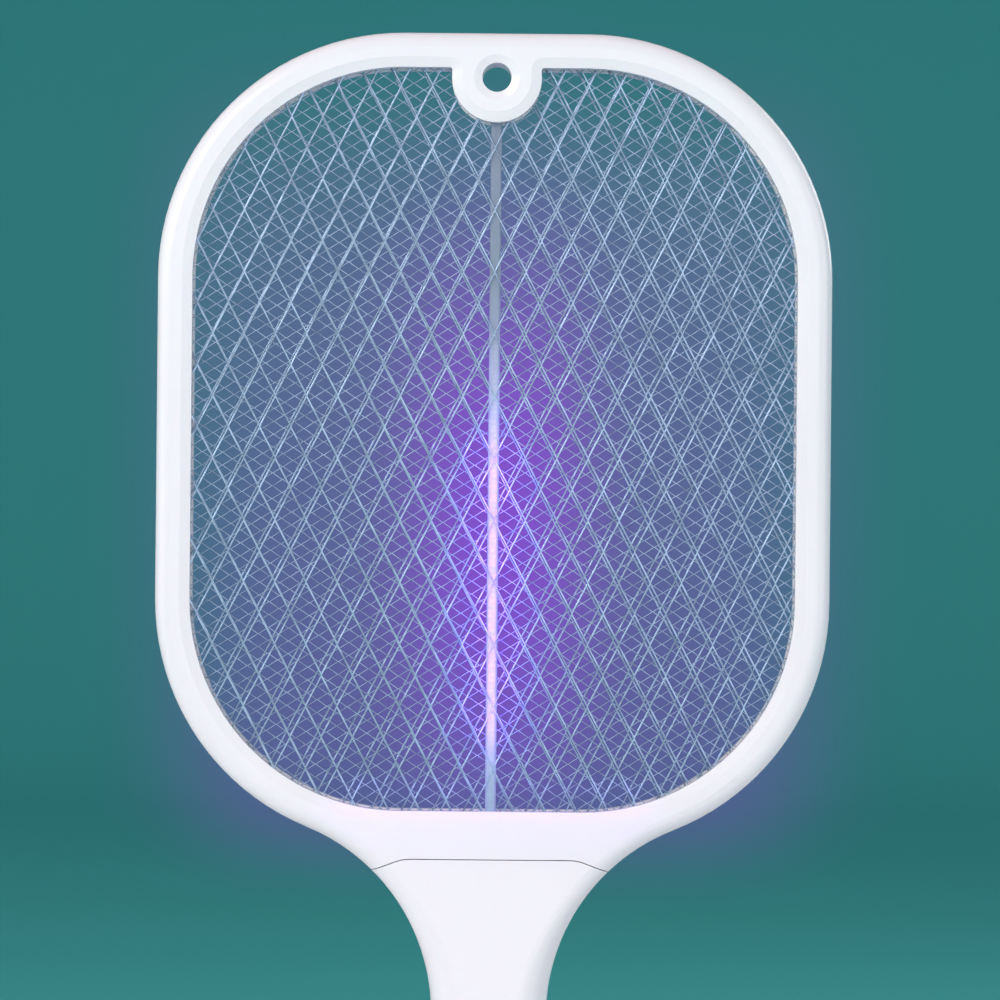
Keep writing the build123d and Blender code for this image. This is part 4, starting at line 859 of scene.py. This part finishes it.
@dataclass
class ExpandedNet:
    """A net of slit and stretched steel sheet, in one piece with its rim and its ear.

    Attributes:
        name: The piece's name.
        node: The CAD node it stands for.
        slot: The material slot of its finish.
        plane: Level of its middle from front to back, in mm.
        long_way: Which way the diamonds' long diagonal runs.
        long_pitch: Length of a diamond from bond to bond, in mm.
        short_pitch: Its width, in mm.
        strand: Width of a strand, in mm.
        sheet: Thickness of the sheet, in mm.
        bond: Length of the joint where two strands run together, in mm.
        twist: How far each strand's two edges stand out of the sheet, in mm.
        shift: Place of one bond, in mm.
        turn: How far the net sits turned in its seat, in degrees.
        edge: How far its outline lies inside the head's, in mm.
        rim: Width of its solid rim, in mm.
        ear_x: Place of the ear for its terminal, in mm.
        ear_size: Width and length of that ear, in mm.
        edge_round: Rounding of the strands' edges, in mm; 0 leaves them sheared.
        overlap: How far the rims round the outline and the core may run into each other, in mm.
        weld: Distance within which corners are joined, in mm.
        worn_angle: Edges sharper than this many degrees are rounded.
        sharp_angle: Edges sharper than this many degrees stay crisp.
        head: The outlines that it is cut to.
    """

    name: str
    node: str
    slot: str
    plane: float
    long_way: LongWay
    long_pitch: float
    short_pitch: float
    strand: float
    sheet: float
    bond: float
    twist: float
    shift: Point
    turn: float = 0.0
    edge: float = 6.7
    rim: float = 2.4
    ear_x: float = 0.0
    ear_size: Point = (6.0, 5.6)
    edge_round: float = 0.0
    overlap: float = 0.5
    weld: float = 0.001
    worn_angle: float = 40.0
    sharp_angle: float = 50.0
    head: HeadShape = field(default_factory=HeadShape)

    def place(self, along: float, across: float) -> Point:
        """Where a point of the flat lattice lies on the head, in mm."""
        x, z = (across, along) if self.long_way is LongWay.UP else (along, across)
        turn = math.radians(self.turn)
        turned_x = x * math.cos(turn) - z * math.sin(turn)
        turned_z = x * math.sin(turn) + z * math.cos(turn)
        return turned_x + self.shift[0], turned_z + self.shift[1]

    def bond_outline(self, along: float, across: float) -> list[Position]:
        """The six corners of one bond.

        Args:
            along: Its centre along the long way, in mm.
            across: Its centre across, in mm.

        Returns:
            X, Z and height out of the sheet of each corner, round the bond from its upper tip.
        """
        run = self.long_pitch / 2 - self.bond
        angle = math.atan2(self.short_pitch / 2, run)
        half = self.strand / 2
        tip = self.bond / 2 + half / math.sin(angle)
        wide = half / math.cos(angle)
        half_bond = self.bond / 2
        corners = [
            (tip, 0.0, self.twist),
            (half_bond, wide, -self.twist),
            (-half_bond, wide, -self.twist),
            (-tip, 0.0, self.twist),
            (-half_bond, -wide, -self.twist),
            (half_bond, -wide, -self.twist),
        ]
        return [(*self.place(along + du, across + dv), height) for du, dv, height in corners]

    def lattice(self) -> Iterator[Step]:
        """Steps of every bond that may lie in the head, along and across."""
        reach = self.head.top - self.head.bottom
        rows = int(reach / self.long_pitch) + 2
        columns = int(reach / self.short_pitch) + 2
        for row in range(-rows, rows + 1):
            for column in range(-columns, columns + 1):
                if (row + column) % 2 == 0:
                    yield row, column

    def centre(self, row: int, column: int) -> Point:
        """Centre of a bond in the flat lattice, in mm."""
        return row * self.long_pitch / 2, column * self.short_pitch / 2

    def is_inside(self, x: float, z: float) -> bool:
        """Whether a point is inside the middle line of the rim."""
        return self.head.depth(x, z, self.edge) > self.rim / 2

    def weave(self, shape: bmesh.types.BMesh) -> None:
        """Adds the bonds and strands.

        Args:
            shape: The mesh that gets them.
        """
        bonds: dict[Step, list[bmesh.types.BMVert]] = {}
        outlines: dict[Step, list[Position]] = {}
        for step in self.lattice():
            outlines[step] = self.bond_outline(*self.centre(*step))
            if self.is_inside(*self.place(*self.centre(*step))):
                bonds[step] = [self.vertex(shape, corner) for corner in outlines[step]]
                shape.faces.new(bonds[step])
        for row, column in outlines:
            for side in (1, -1):
                above = (row + 1, column + side)
                if above in outlines:
                    self.strand_between(shape, bonds, outlines, (row, column), above, side)

    def strand_between(
        self,
        shape: bmesh.types.BMesh,
        bonds: dict[Step, list[bmesh.types.BMVert]],
        outlines: dict[Step, list[Position]],
        start: Step,
        end: Step,
        side: int,
    ) -> None:
        """Adds the strand from one bond to the next, ending it in the rim if it has to.

        Args:
            shape: The mesh that gets it.
            bonds: Vertices of the bonds that are inside.
            outlines: Corners of every bond.
            start: The bond it leaves.
            end: The bond it reaches, one row further along.
            side: 1 if it leans to the positive side across, otherwise -1.
        """
        if start not in bonds and end not in bonds:
            return
        leave = (0, 1) if side == 1 else (5, 0)
        reach = (3, 4) if side == 1 else (2, 3)
        corners_from = [Vector(outlines[start][i]) for i in leave]
        corners_to = [Vector(outlines[end][i]) for i in reversed(reach)]
        if start in bonds:
            first = [bonds[start][i] for i in leave]
        else:
            share = self.cut_share(corners_to, corners_from)
            first = [self.vertex(shape, b.lerp(a, share)) for a, b in zip(corners_from, corners_to)]
        if end in bonds:
            last = [bonds[end][i] for i in reversed(reach)]
        else:
            share = self.cut_share(corners_from, corners_to)
            last = [self.vertex(shape, a.lerp(b, share)) for a, b in zip(corners_from, corners_to)]
        shape.faces.new([first[0], last[0], last[1], first[1]])

    def cut_share(self, inside: list[Vector], outside: list[Vector]) -> float:
        """How far along a strand the rim's middle line cuts it.

        Args:
            inside: The strand's two corners at its end inside the rim.
            outside: Its two corners at the other end.

        Returns:
            The share of its length that is kept.
        """
        near = (inside[0] + inside[1]) / 2
        far = (outside[0] + outside[1]) / 2
        low, high, halvings, least = 0.0, 1.0, 12, 0.05
        for _ in range(halvings):
            share = (low + high) / 2
            point = near.lerp(far, share)
            low, high = (share, high) if self.is_inside(point.x, point.y) else (low, share)
        return max(low, least)

    def vertex(self, shape: bmesh.types.BMesh, corner: Position | Vector) -> bmesh.types.BMVert:
        """A vertex at X, Z and height out of the sheet, all in mm."""
        x, z, height = corner
        return shape.verts.new((x * MM, (self.plane + height) * MM, z * MM))

    def frame_it(self, shape: bmesh.types.BMesh, corner_steps: int = 40, core_steps: int = 96) -> None:
        """Adds the rim round the outline and the eyelet's core, and the terminal's ear.

        Args:
            shape: The mesh that gets them.
            corner_steps: Points on each corner of the outline.
            core_steps: Points round the eyelet's core.
        """
        outer = self.head.loop(self.edge, corner_steps)
        inner = self.head.loop(self.edge + self.rim, corner_steps)
        quads = []
        for i in range(len(outer)):
            after = (i + 1) % len(outer)
            quads.append([outer[i], outer[after], inner[after], inner[i]])
        core = self.head.eyelet_core
        for i in range(core_steps):
            first, last = (math.radians(360 * (i + share) / core_steps) for share in (0, 1))
            corners = ((core, first), (core, last), (core + self.rim, last), (core + self.rim, first))
            quads.append([(radius * math.cos(turn), radius * math.sin(turn)) for radius, turn in corners])
        for quad in quads:
            if all(self.head.depth(x, z, self.edge) > -self.overlap for x, z in quad):
                self.quad(shape, quad)
        half, length = self.ear_size[0] / 2, self.ear_size[1]
        foot = self.head.bottom + self.edge
        low, high = foot - length, foot + self.rim / 2
        left, right = self.ear_x - half, self.ear_x + half
        self.quad(shape, [(left, low), (right, low), (right, high), (left, high)])

    def quad(self, shape: bmesh.types.BMesh, corners: list[Point]) -> None:
        """Adds one flat face of the rim or the ear."""
        shape.faces.new([self.vertex(shape, (x, z, 0.0)) for x, z in corners])

    def build(self) -> bpy.types.Object:
        """Builds the net and dresses it.

        Returns:
            The finished piece, riding on the swatter.
        """
        shape = bmesh.new()
        self.weave(shape)
        self.frame_it(shape)
        bmesh.ops.remove_doubles(shape, verts=shape.verts, dist=self.weld * MM)
        bmesh.ops.recalc_face_normals(shape, faces=shape.faces)
        piece = mesh_piece(self.name, shape)
        body = piece.modifiers.new("sheet", "SOLIDIFY")
        body.thickness = (self.sheet - 2 * self.twist) * MM
        body.offset = 0.0
        if self.edge_round:
            worn = piece.modifiers.new("worn_edges", "BEVEL")
            worn.width = self.edge_round * MM
            worn.segments = 2
            worn.limit_method = "ANGLE"
            worn.angle_limit = math.radians(self.worn_angle)
        settle(piece)
        piece.data.shade_smooth()
        piece.data.set_sharp_from_angle(angle=math.radians(self.sharp_angle))
        piece.data.materials.clear()
        piece.data.materials.append(Wardrobe.finish(self.slot))
        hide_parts(self.node)
        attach(piece, "root")
        LOG.info("%s: %d faces", self.name, len(piece.data.polygons))
        return piece


# ------------------------------------------------------------------ sub-assemblies


@dataclass
class CadPieces:
    """A sub-assembly whose shapes come from the CAD model as they are.

    Attributes:
        title: The sub-assembly's name in the log.
        nodes: Its CAD nodes.
    """

    title: str
    nodes: tuple[str, ...]

    def dress(self) -> None:
        """Gives each node the finish of its material slot."""
        for name in self.nodes:
            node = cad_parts[name]
            for place in node.material_slots:
                slot = place.material.name.split(".")[0]
                place.material = Wardrobe.finish(slot)
            LOG.info("%s: %s", self.title, name)


@dataclass
class Nets:
    """The three nets: a guard at the front and back, and the fine live net between them.

    Attributes:
        pitch: Distance from one net to the next, in mm.
        front_diamond: Height and width of the front guard's diamonds, in mm.
        rear_diamond: The rear guard's, which were stretched a little less.
        guard_strand: Width of their strands, in mm.
        fine_diamond: Width and height of the fine net's diamonds, in mm.
        fine_strand: Width of its strands, in mm.
        front_shift: Place of one bond of the front guard, in mm.
        rear_shift: Place of one bond of the rear guard, in mm.
        front_turn: How far the front guard sits turned in its seat, in degrees.
        rear_turn: The same for the rear guard.
        fine_shift: Place of one bond of the fine net, in mm.
        fine_turn: Its turn in its seat, in degrees.
        guard_ear_x: Place of the guards' ears, left on the front and right on the rear, in mm.
        fine_ear_x: Place of the fine net's ear, in mm.
    """

    pitch: float = 3.9
    front_diamond: Point = (19.94, 10.05)
    rear_diamond: Point = (19.79, 10.01)
    guard_strand: float = 0.48
    fine_diamond: Point = (6.5, 4.15)
    fine_strand: float = 0.23
    front_shift: Point = (0.22, -122.1)
    rear_shift: Point = (-0.98, -121.2)
    front_turn: float = 0.33
    rear_turn: float = 0.09
    fine_shift: Point = (0.6, -116.1)
    fine_turn: float = -0.98
    guard_ear_x: float = 30.0
    fine_ear_x: float = 20.0

    def guard(
        self, name: str, node: str, plane: float, diamond: Point, shift: Point, turn: float, ear_x: float
    ) -> ExpandedNet:
        """One coarse guard net."""
        return ExpandedNet(
            name=name,
            node=node,
            slot="guard_steel",
            plane=plane,
            long_way=LongWay.UP,
            long_pitch=diamond[0],
            short_pitch=diamond[1],
            strand=self.guard_strand,
            sheet=0.4,
            bond=0.3,
            twist=0.03,
            shift=shift,
            turn=turn,
            ear_x=ear_x,
            edge_round=0.07,
        )

    def build(self) -> None:
        """Builds all three."""
        front = (-self.pitch, self.front_diamond, self.front_shift, self.front_turn, -self.guard_ear_x)
        rear = (self.pitch, self.rear_diamond, self.rear_shift, self.rear_turn, self.guard_ear_x)
        self.guard("front_guard_mesh", "front_guard_net", *front).build()
        self.guard("rear_guard_mesh", "rear_guard_net", *rear).build()
        ExpandedNet(
            name="fine_live_mesh",
            node="high_voltage_net",
            slot="fine_steel",
            plane=0.0,
            long_way=LongWay.ACROSS,
            long_pitch=self.fine_diamond[0],
            short_pitch=self.fine_diamond[1],
            strand=self.fine_strand,
            sheet=0.38,
            bond=0.2,
            twist=0.02,
            shift=self.fine_shift,
            turn=self.fine_turn,
            ear_x=self.fine_ear_x,
        ).build()


# ------------------------------------------------------------------ studio


@dataclass(frozen=True)
class SoftBox:
    """A soft light that no camera sees. Lengths are in metres.

    Attributes:
        name: The light's name.
        place: Where it is.
        target: What it points at.
        size: Its width and height.
        power: Its power in watts.
        colour: Its colour, as sRGB hex.
        spread: How widely it shines, in degrees.
    """

    name: str
    place: Position
    target: Position
    size: Point
    power: float
    colour: str
    spread: float = 180.0

    def build(self) -> None:
        """Hangs the light."""
        data = bpy.data.lights.new(self.name, "AREA")
        data.shape = "RECTANGLE"
        data.size, data.size_y = self.size
        data.energy = self.power
        data.color = linear(self.colour)[:3]
        data.spread = math.radians(self.spread)
        light = bpy.data.objects.new(self.name, data)
        light.location = self.place
        aim = Vector(self.target) - Vector(self.place)
        light.rotation_euler = aim.to_track_quat("-Z", "Y").to_euler()
        light.visible_camera = False
        bpy.context.scene.collection.objects.link(light)
        LOG.info("studio: %s", self.name)


HEAD_MIDDLE = (0.0, 0.0, -0.14)
LAMP_MIDDLE = (0.0, 0.0, -0.165)
RAIL_FOOT = (0.0, -0.004, -0.238)

SOFT_BOXES = (
    SoftBox("key_box", (-1.2, -1.5, 0.7), HEAD_MIDDLE, (0.9, 0.9), 26.0, "#FFF3F0"),
    SoftBox("front_box", (0.3, -2.3, -0.1), HEAD_MIDDLE, (1.6, 1.6), 12.5, "#FFF4FB"),
    SoftBox("right_box", (2.0, -1.0, 0.1), HEAD_MIDDLE, (1.6, 1.6), 17.0, "#FFF4F9"),
    SoftBox("left_box", (-2.1, -0.6, 0.0), HEAD_MIDDLE, (1.4, 1.6), 10.0, "#FFF4F8"),
    SoftBox("edge_box", (1.1, 0.9, 0.5), HEAD_MIDDLE, (0.5, 0.9), 5.0, "#FFFFFF"),
    # The lamp's own light on the nets, and on the bottom rail.
    SoftBox("violet_front", (0.0, -0.034, -0.165), LAMP_MIDDLE, (0.006, 0.1), 0.011, "#8A3CFF", 100.0),
    SoftBox("violet_back", (0.0, 0.034, -0.165), LAMP_MIDDLE, (0.006, 0.1), 0.011, "#8A3CFF", 100.0),
    SoftBox("violet_foot", (0.0, -0.02, -0.228), RAIL_FOOT, (0.1, 0.004), 0.0012, "#A040FF", 100.0),
)


@dataclass
class Studio:
    """The floor, the light and the camera. Its lengths are in metres.

    Attributes:
        floor_level: Height of the floor.
        floor_radius: Radius of its flat part.
        cove_radius: Radius of the curve up to the wall.
        wall_height: Height of the wall above the floor.
        sky: Colour of the light from all round, as sRGB hex.
        sky_strength: Strength of that light.
        distance: From the camera to the middle of the swatter.
        field: Width of what the camera sees there.
        aim: Where the camera's axis meets the swatter, across and up.
        roll: How far the camera is turned about its axis, in degrees.
    """

    floor_level: float = -0.4625
    floor_radius: float = 3.2
    cove_radius: float = 1.2
    wall_height: float = 3.0
    sky: str = "#F8EEF6"
    sky_strength: float = 0.4
    distance: float = 1.4
    field: float = 0.322
    aim: Point = (0.0022, -0.1354)
    roll: float = 0.53

    def cove_profile(self, flat_steps: int = 8, steps: int = 16) -> list[Point]:
        """Radius and height of the floor, the curve and the wall, from the middle out.

        Args:
            flat_steps: Points on the flat floor.
            steps: Points on the curve.

        Returns:
            The points.
        """
        flat = [(self.floor_radius * i / flat_steps, self.floor_level) for i in range(1, flat_steps + 1)]
        curve = []
        for step in range(1, steps + 1):
            turn = math.radians(90 * step / steps)
            out = self.floor_radius + self.cove_radius * math.sin(turn)
            curve.append((out, self.floor_level + self.cove_radius * (1 - math.cos(turn))))
        return [*flat, *curve, (curve[-1][0], self.floor_level + self.wall_height)]

    def build_floor(self, turns: int = 96) -> None:
        """Builds the seamless floor and wall as one turned surface.

        Args:
            turns: Steps round the middle.
        """
        shape = bmesh.new()
        middle = shape.verts.new((0.0, 0.0, self.floor_level))
        rings = []
        for radius, height in self.cove_profile():
            angles = [2 * math.pi * i / turns for i in range(turns)]
            points = [(radius * math.cos(a), radius * math.sin(a), height) for a in angles]
            rings.append([shape.verts.new(point) for point in points])
        for i in range(turns):
            after = (i + 1) % turns
            shape.faces.new([middle, rings[0][i], rings[0][after]])
            for low, high in zip(rings, rings[1:]):
                shape.faces.new([low[i], high[i], high[after], low[after]])
        floor = mesh_piece("studio_floor", shape)
        floor.data.shade_smooth()
        floor.data.materials.append(PAPER.make())
        LOG.info("studio: floor")

    def light_it(self) -> None:
        """Adds the soft boxes, the lamp's violet spill and the light from all round."""
        for box in SOFT_BOXES:
            box.build()
        world = bpy.data.worlds.new("studio_air")
        world.use_nodes = True
        air = world.node_tree.nodes["Background"]
        air.inputs["Color"].default_value = linear(self.sky)
        air.inputs["Strength"].default_value = self.sky_strength
        bpy.context.scene.world = world

    def set_camera(self) -> None:
        """Stands the camera straight in front of the head."""
        data = bpy.data.cameras.new("camera")
        data.sensor_width = 36.0
        data.lens = data.sensor_width * self.distance / self.field
        data.clip_start, data.clip_end = 0.05, 30.0
        camera = bpy.data.objects.new("camera", data)
        stand = Matrix.Translation((self.aim[0], -self.distance, self.aim[1]))
        upright = Matrix.Rotation(math.radians(90), 4, "X")
        camera.matrix_world = stand @ upright @ Matrix.Rotation(math.radians(self.roll), 4, "Z")
        bpy.context.scene.collection.objects.link(camera)
        bpy.context.scene.camera = camera
        LOG.info("studio: camera")

    def build(self) -> None:
        """Builds the whole studio."""
        self.build_floor()
        self.light_it()
        self.set_camera()
        bpy.context.scene.view_settings.view_transform = "Standard"


SUB_ASSEMBLIES = (
    CadPieces(
        "head",
        (
            "head_front_frame", "head_rear_frame", "head_screws", "front_net_spacer", "rear_net_spacer",
        ),
    ),
    CadPieces(
        "lamp",
        (
            "light_guide", "lamp_board", "violet_led",
        ),
    ),
    CadPieces(
        "leads",
        (
            "front_net_terminal", "high_voltage_terminal", "rear_net_terminal", "front_net_lead",
            "high_voltage_lead", "rear_net_lead", "lamp_leads",
        ),
    ),
    CadPieces(
        "handle",
        (
            "handle_front_shell", "handle_rear_shell", "handle_screws",
        ),
    ),
    CadPieces(
        "controls",
        (
            "zap_button", "button_switch", "switch_plunger", "mode_slider", "slide_switch",
            "switch_lever", "indicator_led", "indicator_lens",
        ),
    ),
    CadPieces(
        "electronics",
        (
            "main_circuit_board", "board_screws", "transformer_core", "transformer_winding",
            "high_voltage_capacitor", "rectifier_diodes", "resistors", "switching_transistor",
        ),
    ),
    CadPieces(
        "battery",
        (
            "battery_cell", "battery_cradle", "battery_contact_positive", "battery_contact_negative",
            "battery_leads", "usb_socket", "charge_board", "charge_leads",
        ),
    ),
)


def main() -> None:
    """Builds every sub-assembly, then the studio."""
    logging.basicConfig(level=logging.INFO, format="%(message)s")
    for assembly in SUB_ASSEMBLIES:
        assembly.dress()
    Nets().build()
    Studio().build()


if __name__ == "__main__":
    main()
